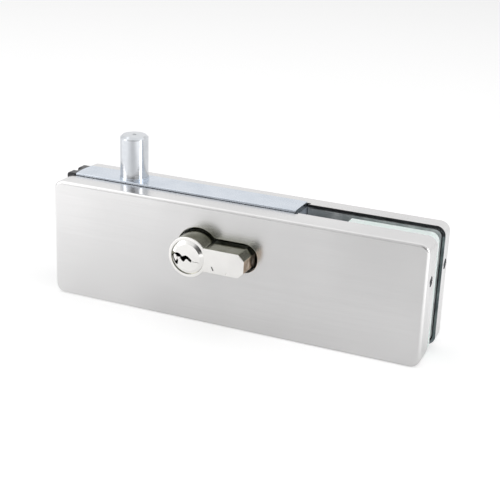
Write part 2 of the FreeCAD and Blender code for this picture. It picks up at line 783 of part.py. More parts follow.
def make_clutch():
    core = cyl_y(cam_bore_r - clutch_gap, -clutch_half, clutch_half, axis_x, axis_z)
    lugs = box(axis_x - clutch_lug_reach, axis_x + clutch_lug_reach, -clutch_half, clutch_half,
               axis_z - clutch_lug_half, axis_z + clutch_lug_half)
    clutch = core.fuse(lugs).removeSplitter()
    clutch = clutch.cut(cyl_y(clutch_bore_r, -far, far, axis_x, axis_z))
    swing_cam(clutch)
    save(clutch, "clutch")


def make_fixing_screw():
    low = fix_seat - fix_head_height
    head = cyl_z(fix_head_r, low, fix_seat, fix_screw_x, 0)
    screw = head.fuse(cyl_z(fix_screw_r, fix_seat, fix_screw_top, fix_screw_x, 0)).removeSplitter()
    slot = box(fix_screw_x - far, fix_screw_x + far, -fix_slot_half, fix_slot_half,
               low - 1, low + fix_slot_depth)
    save(screw.cut(slot), "cylinder_fixing_screw")


front_screw_y = -(half_slot + front_depth / 2 - cover_wall / 2)
rear_screw_y = half_slot + rear_depth / 2 - cover_wall / 2

make_cover("front_cover", -1, front_face, front_screw_y)
make_cover("rear_cover", 1, rear_face, rear_screw_y)
make_cover_screws("front_cover_screws", front_screw_y)
make_cover_screws("rear_cover_screws", rear_screw_y)
make_clamp_body("front_clamp_body", -1, front_face, front_screw_y, True)
make_clamp_body("rear_clamp_body", 1, rear_face, rear_screw_y, False)
make_clamp_screws()
make_pad("glass_pad_outer", 0)
make_pad("glass_pad_inner", 1)
make_end_piece()
make_lock_case()
make_case_lid()
make_lid_screws()
make_faceplate()
make_bolt_pin()
make_cross_pin()
make_bolt_slide()
make_guide_rod()
make_brake()
make_cylinder_body()
make_plug("front_plug", -1)
make_plug("rear_plug", 1)
make_clip("front_plug_clip", -1)
make_clip("rear_plug_clip", 1)
make_key_pins("front_key_pins", -1)
make_key_pins("rear_key_pins", 1)
make_chamber_pieces()
make_cam()
make_clutch()
make_fixing_screw()
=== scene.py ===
import json
import math

import bmesh
import bpy
from mathutils import Matrix, Vector


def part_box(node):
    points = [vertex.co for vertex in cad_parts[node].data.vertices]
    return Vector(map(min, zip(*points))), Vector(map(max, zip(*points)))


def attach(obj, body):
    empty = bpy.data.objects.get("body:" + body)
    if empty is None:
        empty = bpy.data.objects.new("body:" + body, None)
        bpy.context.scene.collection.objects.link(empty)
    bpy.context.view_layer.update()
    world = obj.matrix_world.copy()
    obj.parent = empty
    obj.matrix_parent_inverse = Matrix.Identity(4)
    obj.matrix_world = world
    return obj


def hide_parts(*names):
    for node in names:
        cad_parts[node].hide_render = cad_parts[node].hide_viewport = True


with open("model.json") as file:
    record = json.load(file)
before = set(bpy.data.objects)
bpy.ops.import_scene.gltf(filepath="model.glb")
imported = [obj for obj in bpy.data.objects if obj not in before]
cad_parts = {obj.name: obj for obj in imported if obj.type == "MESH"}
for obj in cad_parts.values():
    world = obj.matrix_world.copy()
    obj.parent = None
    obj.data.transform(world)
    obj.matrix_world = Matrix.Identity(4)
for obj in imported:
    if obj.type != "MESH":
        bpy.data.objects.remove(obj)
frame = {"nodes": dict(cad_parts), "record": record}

# Locking corner patch for a glass door: brushed covers, zinc faceplate and bolt, nickel cylinder.
# Pieces are modelled in millimetres around the frame and brought to metres when they are finished.

mm = 0.001
tolerance = 0.001               # in millimetres, points this close count as one place
scene = bpy.context.scene
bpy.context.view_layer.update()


def nodeBox(node):
    low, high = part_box(node)
    return low / mm, high / mm


coverLow, coverHigh = nodeBox("front_cover")
rearHigh = nodeBox("rear_cover")[1]
plateLow, plateHigh = nodeBox("faceplate")
boltLow, boltHigh = nodeBox("bolt_pin")
bodyLow, bodyHigh = nodeBox("cylinder_body")
plugLow, plugHigh = nodeBox("front_plug")
boltX = (boltLow.x + boltHigh.x) / 2
boltRadius = (boltHigh.x - boltLow.x) / 2
axisX = (plugLow.x + plugHigh.x) / 2            # axis of the key cylinder
axisZ = (plugLow.z + plugHigh.z) / 2
axisPoint = Vector((axisX, 0, axisZ))


# Node helpers

def addNode(tree, kind, **settings):
    node = tree.nodes.new(kind)
    for key, value in settings.items():
        setattr(node, key, value)
    return node


def setInputs(node, **values):
    for key, value in values.items():
        node.inputs[key.replace("_", " ")].default_value = value
    return node


def mixColours(tree, factor, first, second):
    mix = addNode(tree, "ShaderNodeMix", data_type="RGBA")
    tree.links.new(factor, mix.inputs[0])
    for place, colour in ((6, first), (7, second)):     # the node's two colour sockets
        if isinstance(colour, bpy.types.NodeSocket):
            tree.links.new(colour, mix.inputs[place])
        else:
            mix.inputs[place].default_value = (*colour, 1)
    return mix.outputs[2]


def mapRange(tree, value, fromLow, fromHigh, toLow, toHigh):
    node = addNode(tree, "ShaderNodeMapRange", clamp=True)
    tree.links.new(value, node.inputs[0])
    for place, number in enumerate((fromLow, fromHigh, toLow, toHigh), start=1):
        node.inputs[place].default_value = number
    return node.outputs[0]


def doMath(tree, operation, first, second):
    node = addNode(tree, "ShaderNodeMath", operation=operation)
    for place, value in enumerate((first, second)):
        if isinstance(value, bpy.types.NodeSocket):
            tree.links.new(value, node.inputs[place])
        else:
            node.inputs[place].default_value = value
    return node.outputs[0]


def startGroup(name, inputs, outputs):
    group = bpy.data.node_groups.new(name, "ShaderNodeTree")
    for label, kind, value in inputs:
        socket = group.interface.new_socket(label, in_out="INPUT", socket_type=kind)
        socket.default_value = value
    for label in outputs:
        group.interface.new_socket(label, in_out="OUTPUT", socket_type="NodeSocketFloat")
    return group, group.nodes.new("NodeGroupInput"), group.nodes.new("NodeGroupOutput")


def placeGroup(tree, group, **values):
    node = addNode(tree, "ShaderNodeGroup", node_tree=group)
    return setInputs(node, **values)


# Effects that several finishes share

noiseSpan = (0.3, 0.7)          # nearly all values of a fine noise lie in here
driftSpan = (0.35, 0.65)        # and those of a slow one in here
wideLines = (0.35, 0.22, 0.22)  # scale of the wide lines against the fine grain


def makeGrainGroup():
    # fine lines along one direction, and a slow drift of tone
    group, given, result = startGroup(
        "brushedGrain",
        [("Stretch", "NodeSocketVector", (60, 4000, 4000)), ("Drift Size", "NodeSocketFloat", 18)],
        ["Grain", "Lines", "Drift"])
    place = addNode(group, "ShaderNodeTexCoord")
    mapping = addNode(group, "ShaderNodeMapping")
    fine = setInputs(addNode(group, "ShaderNodeTexNoise"), Scale=1, Detail=3, Roughness=0.65)
    wide = addNode(group, "ShaderNodeVectorMath", operation="MULTIPLY")
    wide.inputs[1].default_value = wideLines
    lines = setInputs(addNode(group, "ShaderNodeTexNoise"), Scale=1, Detail=2, Roughness=0.5)
    drift = setInputs(addNode(group, "ShaderNodeTexNoise"), Detail=2, Roughness=0.45)
    link = group.links.new
    link(place.outputs["Object"], mapping.inputs["Vector"])
    link(given.outputs["Stretch"], mapping.inputs["Scale"])
    link(mapping.outputs["Vector"], fine.inputs["Vector"])
    link(mapping.outputs["Vector"], wide.inputs[0])
    link(wide.outputs[0], lines.inputs["Vector"])
    link(place.outputs["Object"], drift.inputs["Vector"])
    link(given.outputs["Drift Size"], drift.inputs["Scale"])
    link(fine.outputs["Fac"], result.inputs["Grain"])
    link(lines.outputs["Fac"], result.inputs["Lines"])
    link(drift.outputs["Fac"], result.inputs["Drift"])
    return group


def makeEdgeMaskGroup():
    # how far a point lies on a rounded edge; the finishes make it rubbed wear, painted highlights
    # and painted seam shade
    group, given, result = startGroup(
        "edgeMask",
        [("Width", "NodeSocketFloat", 0.0004), ("Gain", "NodeSocketFloat", 4)],
        ["Edge"])
    rounded = addNode(group, "ShaderNodeBevel", samples=6)
    flat = addNode(group, "ShaderNodeNewGeometry")
    dot = addNode(group, "ShaderNodeVectorMath", operation="DOT_PRODUCT")
    link = group.links.new
    link(given.outputs["Width"], rounded.inputs["Radius"])
    link(rounded.outputs["Normal"], dot.inputs[0])
    link(flat.outputs["Normal"], dot.inputs[1])
    turned = doMath(group, "SUBTRACT", 1, dot.outputs["Value"])
    strong = doMath(group, "MULTIPLY", turned, given.outputs["Gain"])
    link(mapRange(group, strong, 0, 1, 0, 1), result.inputs["Edge"])
    return group


def makeSpeckGroup():
    # small cells and pits of a casting, a moulding or a plated face
    group, given, result = startGroup(
        "surfaceSpeck",
        [("Cell Size", "NodeSocketFloat", 900), ("Patch Size", "NodeSocketFloat", 60)],
        ["Speck", "Patch"])
    place = addNode(group, "ShaderNodeTexCoord")
    cells = setInputs(addNode(group, "ShaderNodeTexNoise"), Detail=4, Roughness=0.7)
    patch = setInputs(addNode(group, "ShaderNodeTexNoise"), Detail=3, Roughness=0.5)
    link = group.links.new
    link(place.outputs["Object"], cells.inputs["Vector"])
    link(place.outputs["Object"], patch.inputs["Vector"])
    link(given.outputs["Cell Size"], cells.inputs["Scale"])
    link(given.outputs["Patch Size"], patch.inputs["Scale"])
    link(cells.outputs["Fac"], result.inputs["Speck"])
    link(patch.outputs["Fac"], result.inputs["Patch"])
    return group


grainGroup = makeGrainGroup()
edgeMaskGroup = makeEdgeMaskGroup()
speckGroup = makeSpeckGroup()


def startMaterial(name):
    material = bpy.data.materials.new(name)
    material.use_nodes = True
    shader = material.node_tree.nodes["Principled BSDF"]
    return material, material.node_tree, shader


def connectLook(tree, shader, look, colour, texture):
    # roughness and relief follow one texture
    rough = mapRange(tree, texture, *noiseSpan, *look["roughness"])
    bump = setInputs(addNode(tree, "ShaderNodeBump"), Strength=look["relief"],
                     Distance=look["depth"] * mm)
    tree.links.new(colour, shader.inputs["Base Color"])
    tree.links.new(rough, shader.inputs["Roughness"])
    tree.links.new(texture, bump.inputs["Height"])
    tree.links.new(bump.outputs["Normal"], shader.inputs["Normal"])


def brushedMetal(name, look):
    # colours and roughness follow the grain and the drift; the edges get rubbed wear and a painted
    # highlight
    material, tree, shader = startMaterial(name)
    grain = placeGroup(tree, grainGroup, Stretch=look["stretch"], Drift_Size=look["driftSize"])
    edge = placeGroup(tree, edgeMaskGroup, Width=look["edgeWidth"] * mm, Gain=look["edgeGain"])
    tone = mapRange(tree, grain.outputs["Drift"], *driftSpan, 0, 1)
    colour = mixColours(tree, tone, look["dark"], look["light"])
    lines = mapRange(tree, grain.outputs["Lines"], *noiseSpan, 0, look["lineTone"])
    colour = mixColours(tree, lines, colour, look["line"])
    colour = mixColours(tree, edge.outputs["Edge"], colour, look["edge"])
    setInputs(shader, Metallic=1, Anisotropic=look["anisotropy"], Anisotropic_Rotation=look["turn"])
    if look["anisotropy"]:
        tangent = addNode(tree, "ShaderNodeTangent", direction_type="RADIAL", axis=look["around"])
        tree.links.new(tangent.outputs[0], shader.inputs["Tangent"])
    connectLook(tree, shader, look, colour, grain.outputs["Grain"])
    return material


def speckledMetal(name, look):
    # plated, cast and machined parts
    material, tree, shader = startMaterial(name)
    speck = placeGroup(tree, speckGroup, Cell_Size=look["cells"], Patch_Size=look["patches"])
    edge = placeGroup(tree, edgeMaskGroup, Width=look["edgeWidth"] * mm, Gain=look["edgeGain"])
    tone = mapRange(tree, speck.outputs["Patch"], *driftSpan, 0, 1)
    colour = mixColours(tree, tone, look["dark"], look["light"])
    colour = mixColours(tree, edge.outputs["Edge"], colour, look["edge"])
    setInputs(shader, Metallic=look["metallic"])
    connectLook(tree, shader, look, colour, speck.outputs["Speck"])
    return material


def padMaterial(name, look):
    material, tree, shader = startMaterial(name)
    speck = placeGroup(tree, speckGroup, Cell_Size=look["cells"], Patch_Size=look["patches"])
    tone = mapRange(tree, speck.outputs["Patch"], *noiseSpan, 0, 1)
    # darker along every edge of a pad: painted shade in the seams between the layers
    seamShade = placeGroup(tree, edgeMaskGroup, Width=look["seamWidth"] * mm, Gain=look["seamGain"])
    colour = mixColours(tree, tone, look["dark"], look["light"])
    colour = mixColours(tree, seamShade.outputs["Edge"], colour, look["seamShade"])
    setInputs(shader, Subsurface_Weight=look["glow"], Subsurface_Scale=look["glowDepth"] * mm)
    shader.inputs["Subsurface Radius"].default_value = look["glowReach"]
    connectLook(tree, shader, look, colour, speck.outputs["Speck"])
    return material


# Each look's edge colour lies along the rounded edges: rubbed wear, brightened into a painted
# highlight
coverSteel = {
    "dark": (0.67, 0.665, 0.665), "light": (0.73, 0.725, 0.725), "line": (0.64, 0.635, 0.635),
    "edge": (0.84, 0.84, 0.84), "lineTone": 0.3, "stretch": (40, 5200, 5200), "driftSize": 22,
    "roughness": (0.21, 0.27), "anisotropy": 0.7, "turn": 0, "around": "X",
    "depth": 0.012, "relief": 0.3, "edgeWidth": 0.35, "edgeGain": 3,
}
boltSteel = {
    "dark": (0.58, 0.60, 0.63), "light": (0.67, 0.685, 0.705), "line": (0.50, 0.52, 0.55),
    "edge": (0.80, 0.82, 0.85), "lineTone": 0.35, "stretch": (900, 900, 2600), "driftSize": 90,
    "roughness": (0.12, 0.22), "anisotropy": 0.25, "turn": 0.25, "around": "Z",
    "depth": 0.012, "relief": 0.3, "edgeWidth": 0.4, "edgeGain": 3,
}
nickelFace = {
    "dark": (0.85, 0.84, 0.82), "light": (0.91, 0.90, 0.88), "edge": (0.95, 0.94, 0.92),
    "cells": 1600, "patches": 90, "roughness": (0.16, 0.24), "metallic": 1,
    "depth": 0.01, "relief": 0.3, "edgeWidth": 0.35, "edgeGain": 3,
}
machined = {                    # what the machined and moulded parts share
    "cells": 1500, "patches": 200, "roughness": (0.25, 0.4), "metallic": 1,
    "depth": 0.02, "relief": 0.4, "edgeWidth": 0.3, "edgeGain": 3,
}
fineParts = {                   # and the springs and pins
    "cells": 2000, "patches": 400, "metallic": 1,
    "depth": 0.01, "relief": 0.3, "edgeWidth": 0.1, "edgeGain": 2,
}
speckledLooks = {
    "zinc_plated_plate": {
        # its near-white edge colour is a painted highlight along the plate's edges
        "dark": (0.56, 0.61, 0.68), "light": (0.62, 0.665, 0.73), "edge": (0.93, 0.95, 0.98),
        "cells": 1100, "patches": 120, "roughness": (0.22, 0.30), "metallic": 1,
        "depth": 0.006, "relief": 0.25, "edgeWidth": 0.4, "edgeGain": 3},
    "zinc_plated_case": {
        "dark": (0.52, 0.57, 0.66), "light": (0.70, 0.75, 0.84), "edge": (0.92, 0.94, 0.97),
        "cells": 900, "patches": 160, "roughness": (0.3, 0.45), "metallic": 0.6,
        "depth": 0.03, "relief": 0.4, "edgeWidth": 0.4, "edgeGain": 3},
    "cast_aluminium": {
        "dark": (0.44, 0.47, 0.48), "light": (0.70, 0.72, 0.72), "edge": (0.85, 0.86, 0.87),
        "cells": 1200, "patches": 240, "roughness": (0.4, 0.6), "metallic": 0.6,
        "depth": 0.08, "relief": 0.6, "edgeWidth": 0.4, "edgeGain": 2},
    "nickel_brass": nickelFace,
    "nickel_plug": {**nickelFace, "roughness": (0.12, 0.22), "patches": 130},
    "screw_steel": {
        **machined, "cells": 1800, "patches": 300, "edgeWidth": 0.25,
        "dark": (0.30, 0.31, 0.33), "light": (0.42, 0.43, 0.45), "edge": (0.7, 0.71, 0.72)},
    "slide_steel": {
        **machined,
        "dark": (0.38, 0.38, 0.38), "light": (0.52, 0.52, 0.52), "edge": (0.75, 0.75, 0.75)},
    "spring_steel": {
        **fineParts, "roughness": (0.18, 0.3),
        "dark": (0.48, 0.48, 0.49), "light": (0.62, 0.62, 0.63), "edge": (0.8, 0.8, 0.8)},
    "pin_brass": {
        **fineParts, "roughness": (0.2, 0.35),
        "dark": (0.62, 0.44, 0.18), "light": (0.75, 0.56, 0.26), "edge": (0.9, 0.75, 0.45)},
    "black_plastic": {
        **machined, "roughness": (0.28, 0.42), "metallic": 0, "depth": 0.03, "edgeGain": 2,
        "dark": (0.012, 0.012, 0.015), "light": (0.025, 0.025, 0.03), "edge": (0.09, 0.09, 0.1)},
}
finishes = {name: speckledMetal(name, look) for name, look in speckledLooks.items()}
finishes["brushed_stainless"] = brushedMetal("brushed_stainless", coverSteel)
finishes["zinc_plated_bolt"] = brushedMetal("zinc_plated_bolt", boltSteel)
finishes["mint_pad"] = padMaterial("mint_pad", {
    # the seam colour is painted shade along the pad's edges
    "dark": (0.80, 0.94, 0.89), "light": (0.88, 0.98, 0.95), "seamShade": (0.42, 0.60, 0.55),
    "seamWidth": 0.3, "seamGain": 5, "cells": 900, "patches": 120,
    "roughness": (0.25, 0.4), "glow": 0.35, "glowDepth": 2.0, "glowReach": (0.8, 1.0, 0.9),
    "depth": 0.02, "relief": 0.3})

# finishes of single faces
drawnAlong = {
    "stretch": (2200, 70, 2200), "anisotropy": 0, "turn": 0, "around": "Y",
    "depth": 0.012, "relief": 0.3, "edgeWidth": 0.2, "edgeGain": 3,
}
rawEdge = {
    "cells": 1600, "patches": 300, "roughness": (0.35, 0.5), "metallic": 0.9,
    "depth": 0.02, "relief": 0.5,
}
shadedNickel = brushedMetal("nickel_painted_shade", {      # flanks of the key cylinder, drawn along it, darkened as painted shade and painted reflections
    **drawnAlong, "lineTone": 0.5, "driftSize": 110, "roughness": (0.14, 0.24),
    "dark": (0.13, 0.13, 0.085), "light": (0.40, 0.40, 0.34), "line": (0.26, 0.27, 0.19),
    "edge": (0.82, 0.80, 0.74)})
bareBrass = brushedMetal("bare_brass", {        # where the plating of the leg's end is thin
    **drawnAlong, "lineTone": 0.6, "driftSize": 320, "roughness": (0.16, 0.28),
    "dark": (0.40, 0.29, 0.19), "light": (0.88, 0.76, 0.62), "line": (0.32, 0.22, 0.14),
    "edge": (0.88, 0.80, 0.66)})
boreShade = speckledMetal("bore_painted_shade", {       # painted shade inside the keyway, its slit, the pin bores and the stake mark
    **machined, "patches": 300, "roughness": (0.35, 0.5), "edgeWidth": 0.08, "edgeGain": 2,
    "dark": (0.02, 0.018, 0.014), "light": (0.06, 0.055, 0.045), "edge": (0.35, 0.33, 0.28)})
shadedCutSteel = speckledMetal("cut_steel_painted_shade", {         # raw edges of the cover sheet, painted near black as shade, with a painted highlight along their edges
    **rawEdge, "edgeWidth": 0.12, "edgeGain": 2,
    "dark": (0.035, 0.035, 0.038), "light": (0.08, 0.08, 0.085), "edge": (0.6, 0.6, 0.6)})
paintedLitSteel = speckledMetal("lit_steel_painted_light", {         # the same edges down the ends, painted lighter as lit, with painted shade along their edges
    **rawEdge, "edgeWidth": 0.3, "edgeGain": 3,
    "dark": (0.16, 0.19, 0.20), "light": (0.30, 0.34, 0.35), "edge": (0.06, 0.07, 0.07)})
rimHighlight = brushedMetal("rim_painted_highlight", {        # painted highlight on the rounded rim of the keyhole cut-outs
    **coverSteel, "anisotropy": 0, "roughness": (0.4, 0.5),
    "dark": (0.90, 0.90, 0.89), "light": (0.96, 0.96, 0.95), "line": (0.88, 0.88, 0.87),
    "edge": (0.98, 0.98, 0.98)})
print("finishes made")


# Modelling helpers

past = 1.0                      # how far a cutting tool reaches past what it cuts


def block(low, high):
    bm = bmesh.new()
    low, high = Vector(low), Vector(high)
    bmesh.ops.create_cube(bm, size=1)
    bmesh.ops.scale(bm, vec=high - low, verts=bm.verts)
    bmesh.ops.translate(bm, vec=(low + high) / 2, verts=bm.verts)
    return bm


def rod(radius, start, end, segments, endRadius=None):
    bm = bmesh.new()
    start, end = Vector(start), Vector(end)
    if endRadius is None:
        endRadius = radius
    bmesh.ops.create_cone(bm, cap_ends=True, segments=segments, radius1=radius, radius2=endRadius,
                          depth=(end - start).length)
    turn = Vector((0, 0, 1)).rotation_difference(end - start).to_matrix()
    bmesh.ops.rotate(bm, cent=(0, 0, 0), matrix=turn, verts=bm.verts)
    bmesh.ops.translate(bm, vec=(start + end) / 2, verts=bm.verts)
    return bm


def lathe(profile, centre, axis, side, steps=120):
    # profile holds (radius, distance along the axis)
    bm = bmesh.new()
    centre, axis, side = Vector(centre), Vector(axis), Vector(side)
    verts = [bm.verts.new(centre + side * radius + axis * along) for radius, along in profile]
    edges = [bm.edges.new(pair) for pair in zip(verts, verts[1:])]
    bmesh.ops.spin(bm, geom=verts + edges, cent=centre, axis=axis, angle=2 * math.pi,
                   steps=steps, use_merge=True)
    bmesh.ops.remove_doubles(bm, verts=bm.verts, dist=tolerance / 2)
    return bm


def upright(low, high, y):
    # corners of a box's outline as the front sees it
    return [(low.x, y, low.z), (high.x, y, low.z), (high.x, y, high.z), (low.x, y, high.z)]


def vertsOf(parts):
    return [part for part in parts if isinstance(part, bmesh.types.BMVert)]


def flatAt(parts, axis, place):
    # edges or faces that lie in one plane, where axis is 1 for Y and 2 for Z
    return [part for part in parts if all(abs(v.co[axis] - place) < tolerance for v in part.verts)]


def extrudeAll(bm, vector):
    out = bmesh.ops.extrude_face_region(bm, geom=bm.faces[:])
    bmesh.ops.translate(bm, vec=vector, verts=vertsOf(out["geom"]))
    return bm


def roundCorners(bm, verts, radius, segments):
    bmesh.ops.bevel(bm, geom=verts, offset=radius, offset_type="OFFSET", affect="VERTICES",
                    segments=segments, profile=0.5, clamp_overlap=False, material=-1)


def roundEdges(bm, edges, width, segments, material=-1):
    bmesh.ops.bevel(bm, geom=edges, offset=width, offset_type="OFFSET", affect="EDGES",
                    segments=segments, profile=0.5, clamp_overlap=False, material=material)


def plate(corners, radius, vector, segments, rounded=None):
    # a flat outline with rounded corners, drawn out along a vector
    bm = bmesh.new()
    verts = [bm.verts.new(corner) for corner in corners]
    bm.faces.new(verts)
    if rounded:
        verts = [verts[i] for i in rounded]
    roundCorners(bm, verts, radius, segments)
    return extrudeAll(bm, vector)


def arcOutline(start, centre, axis, angle, steps, corners):
    # a face inside an arc and the lines that lead from its end through the corners to its start
    bm = bmesh.new()
    first = bm.verts.new(start)
    swept = bmesh.ops.spin(bm, geom=[first], cent=centre, axis=axis, angle=angle, steps=steps)
    last = vertsOf(swept["geom_last"])[0]
    ends = [bm.verts.new(corner) for corner in corners]
    for pair in zip([last] + ends, ends + [first]):
        bm.edges.new(pair)
    bmesh.ops.contextual_create(bm, geom=bm.edges[:])
    return bm, ends


keyholeSteps = 72               # round the big part of a keyhole outline
neckSteps = 4                   # round each inner corner, where there is one


def keyhole(radius, half, reach, y0, y1, corner, segments, inner=0):
    # section of the cylinder: a round part and a leg towards +X
    turn = math.asin(half / radius)
    neckX = axisX + radius * math.cos(turn)
    bm, tip = arcOutline((neckX, y0, axisZ + half), (axisX, y0, axisZ), (0, 1, 0),
                         2 * (turn - math.pi), keyholeSteps,
                         [(axisX + reach, y0, axisZ + side * half) for side in (-1, 1)])
    roundCorners(bm, tip, corner, segments)
    if inner:
        necks = [v for v in bm.verts if abs(abs(v.co.z - axisZ) - half) < tolerance
                 and abs(v.co.x - neckX) < tolerance]
        roundCorners(bm, necks, inner, neckSteps)
    return extrudeAll(bm, (0, y1 - y0, 0))


def toObject(name, bm, material=None):
    bmesh.ops.recalc_face_normals(bm, faces=bm.faces[:])
    mesh = bpy.data.meshes.new(name)
    bm.to_mesh(mesh)
    bm.free()
    obj = bpy.data.objects.new(name, mesh)
    scene.collection.objects.link(obj)
    if material:
        mesh.materials.append(material)
    return obj


def applyModifiers(obj):
    graph = bpy.context.evaluated_depsgraph_get()
    mesh = bpy.data.meshes.new_from_object(obj.evaluated_get(graph), depsgraph=graph)
    obj.modifiers.clear()
    old, obj.data = obj.data, mesh
    bpy.data.meshes.remove(old)


def combine(obj, tools, material, operation="DIFFERENCE"):
    # what a tool cuts or adds takes its material
    tools = [toObject("tool", tool, material) for tool in tools]
    for tool in tools:
        cut = obj.modifiers.new("combine", "BOOLEAN")
        cut.operation = operation
        cut.solver = "EXACT"
        cut.material_mode = "TRANSFER"
        cut.object = tool
    applyModifiers(obj)
    for tool in tools:
        bpy.data.objects.remove(tool)


def editMesh(mesh, edit, *given):
    bm = bmesh.new()
    bm.from_mesh(mesh)
    edit(bm, *given)
    bm.to_mesh(mesh)
    bm.free()


def cutThrough(bm, planes):
    # a flat face bevels cleanly when every hole in it crosses one of its edges
    for point, normal in planes:
        bmesh.ops.bisect_plane(bm, geom=bm.verts[:] + bm.edges[:] + bm.faces[:],
                               dist=tolerance / 10, plane_co=point, plane_no=normal)


def mergeClose(bm):
    bmesh.ops.remove_doubles(bm, verts=bm.verts[:], dist=2 * tolerance)


def triangulateWide(bm):
    wide = [face for face in bm.faces if len(face.verts) > 4]
    bmesh.ops.triangulate(bm, faces=wide, quad_method="BEAUTY", ngon_method="BEAUTY")


edgeSteps = 3                   # of the last fine bevel
edgeAngle = 32                  # in degrees, edges that turn less aren't bevelled
sharpAngle = 55                 # past this the shading breaks
planeAngle = 0.3                # and up to this two faces count as one plane


def regionsOf(bm, limit):
    # faces that lie in one plane and touch count as one region
    region, areas = {}, []
    for first in bm.faces:
        if first in region:
            continue
        region[first] = len(areas)
        stack, total = [first], 0
        while stack:
            face = stack.pop()
            total += face.calc_area()
            for edge in face.edges:
                if len(edge.link_faces) == 2 and edge.calc_face_angle() < limit:
                    for other in edge.link_faces:
                        if other not in region:
                            region[other] = len(areas)
                            stack.append(other)
        areas.append(total)
    return region, areas


def shadeByRegion(mesh, sharp):
    # every corner takes the mean normal of the regions round it, each weighted by its whole area
    bm = bmesh.new()
    bm.from_mesh(mesh)
    region, areas = regionsOf(bm, math.radians(planeAngle))
    near = math.cos(math.radians(sharp))
    normals = []
    for face in bm.faces:
        for loop in face.loops:
            meeting = {region[other]: other.normal for other in loop.vert.link_faces
                       if other.normal.dot(face.normal) > near}
            total = Vector()
            for index, normal in meeting.items():
                total += normal * areas[index]
            normals.append(total.normalized() if total.length else face.normal.copy())
    bm.free()
    mesh.normals_split_custom_set(normals)


def bevelEdges(obj, width, segments, angle):
    editMesh(obj.data, mergeClose)
    bevel = obj.modifiers.new("edges", "BEVEL")
    bevel.width = width
    bevel.segments = segments
    bevel.limit_method = "ANGLE"
    bevel.angle_limit = math.radians(angle)
    bevel.use_clamp_overlap = False
    applyModifiers(obj)


def finishPiece(obj, body, replaced, edge, segments=edgeSteps, angle=edgeAngle,
                sharp=sharpAngle):
    # edge is the width of the last fine bevel
    if edge:
        bevelEdges(obj, edge, segments, angle)
    for face in obj.data.polygons:
        face.use_smooth = True
    editMesh(obj.data, triangulateWide)
    shadeByRegion(obj.data, sharp)
    obj.data.transform(Matrix.Scale(mm, 4))
    obj.data.update()
    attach(obj, body)
    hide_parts(*replaced)
    return obj


# Covers

covers = {
    "wall": 1.2,
    "cornerRadius": 4.0,
    "cornerSteps": 12,
    "drawnEdge": 1.4,
    "drawnSteps": 8,
    "cutoutRadius": 9.4,
    "cutoutHalf": 6.1,
    "cutoutReach": 26.2,
    "cutoutSteps": 16,
    "endFlat": 0.05,            # half of what stays flat at the round end of the cut-out
    "neckRadius": 1.3,          # where the round part meets the leg
    "plateGap": 0.5,
    "reliefRadius": 0.8,
    "reliefSteps": 24,
    "screwRadius": 2.1,
    "screwSteps": 40,
    "edge": 0.12,
    "rim": 0.35,                # rounded rim of the cut-out
    "rimSteps": 3,
    "rimAngle": 1,              # in radians, edges of the face that turn more are its rim
}


def coverShell(name, low, high, rim, face):
    bm = plate(upright(low, high, rim), covers["cornerRadius"], (0, face - rim, 0),
               covers["cornerSteps"])
    bmesh.ops.delete(bm, geom=flatAt(bm.faces, 1, rim), context="FACES_ONLY")
    roundEdges(bm, flatAt(bm.edges, 1, face), covers["drawnEdge"], covers["drawnSteps"])
    cover = toObject(name, bm, finishes["brushed_stainless"])
    # the sheet's raw rim is painted near black as shade
    cover.data.materials.append(shadedCutSteel)
    wall = cover.modifiers.new("wall", "SOLIDIFY")
    wall.thickness = covers["wall"]
    wall.offset = -1
    wall.use_even_offset = True
    wall.material_offset_rim = 1
    applyModifiers(cover)
    return cover


def cutCover(cover, side, low, high, screwY, screwZ):
    # the keyhole, the notch of the faceplate with its relief corners, and the screws
    half = (plateHigh.y - plateLow.y) / 2 + covers["plateGap"]
    left, right = plateLow.x - covers["plateGap"], plateHigh.x + covers["plateGap"]
    topLow = high.z - covers["wall"] - past
    topHigh = high.z + past
    tools = [
        keyhole(covers["cutoutRadius"], covers["cutoutHalf"], covers["cutoutReach"],
                low.y - past, high.y + past, covers["cutoutHalf"] - covers["endFlat"],
                covers["cutoutSteps"], covers["neckRadius"]),
        block((left, min(0, side * half), topLow), (right, max(0, side * half), topHigh)),
        rod(covers["screwRadius"], (low.x - past, screwY, screwZ),
            (high.x + past, screwY, screwZ), covers["screwSteps"]),
    ]
    tools += [rod(covers["reliefRadius"], (x, side * half, topLow), (x, side * half, topHigh),
                  covers["reliefSteps"]) for x in (left, right)]
    planes = [(axisPoint, (1, 0, 0)), (axisPoint, (0, 0, 1)),
              ((0, screwY, screwZ), (0, 1, 0)), ((0, screwY, screwZ), (0, 0, 1))]
    editMesh(cover.data, cutThrough, planes)
    # the cut faces are painted near black as shade too
    combine(cover, tools, shadedCutSteel)


def paintLitEnds(cover, high, rim):
    # the raw edges down both ends, between the rounded corners, take the copy painted as lit
    lit = len(cover.data.materials)
    cover.data.materials.append(paintedLitSteel)
    down = high.z - covers["cornerRadius"]
    outwards = high.x - covers["cornerRadius"]
    for part in cover.data.polygons:
        onRim = abs(part.center.y - rim) < tolerance and part.material_index == 1
        if onRim and part.center.z < down and abs(part.center.x) > outwards:
            part.material_index = lit


def roundCutout(bm, face, material):
    rims = [edge for edge in flatAt(bm.edges, 1, face)
            if edge.calc_face_angle(0) > covers["rimAngle"]]
    roundEdges(bm, rims, covers["rim"], covers["rimSteps"], material)


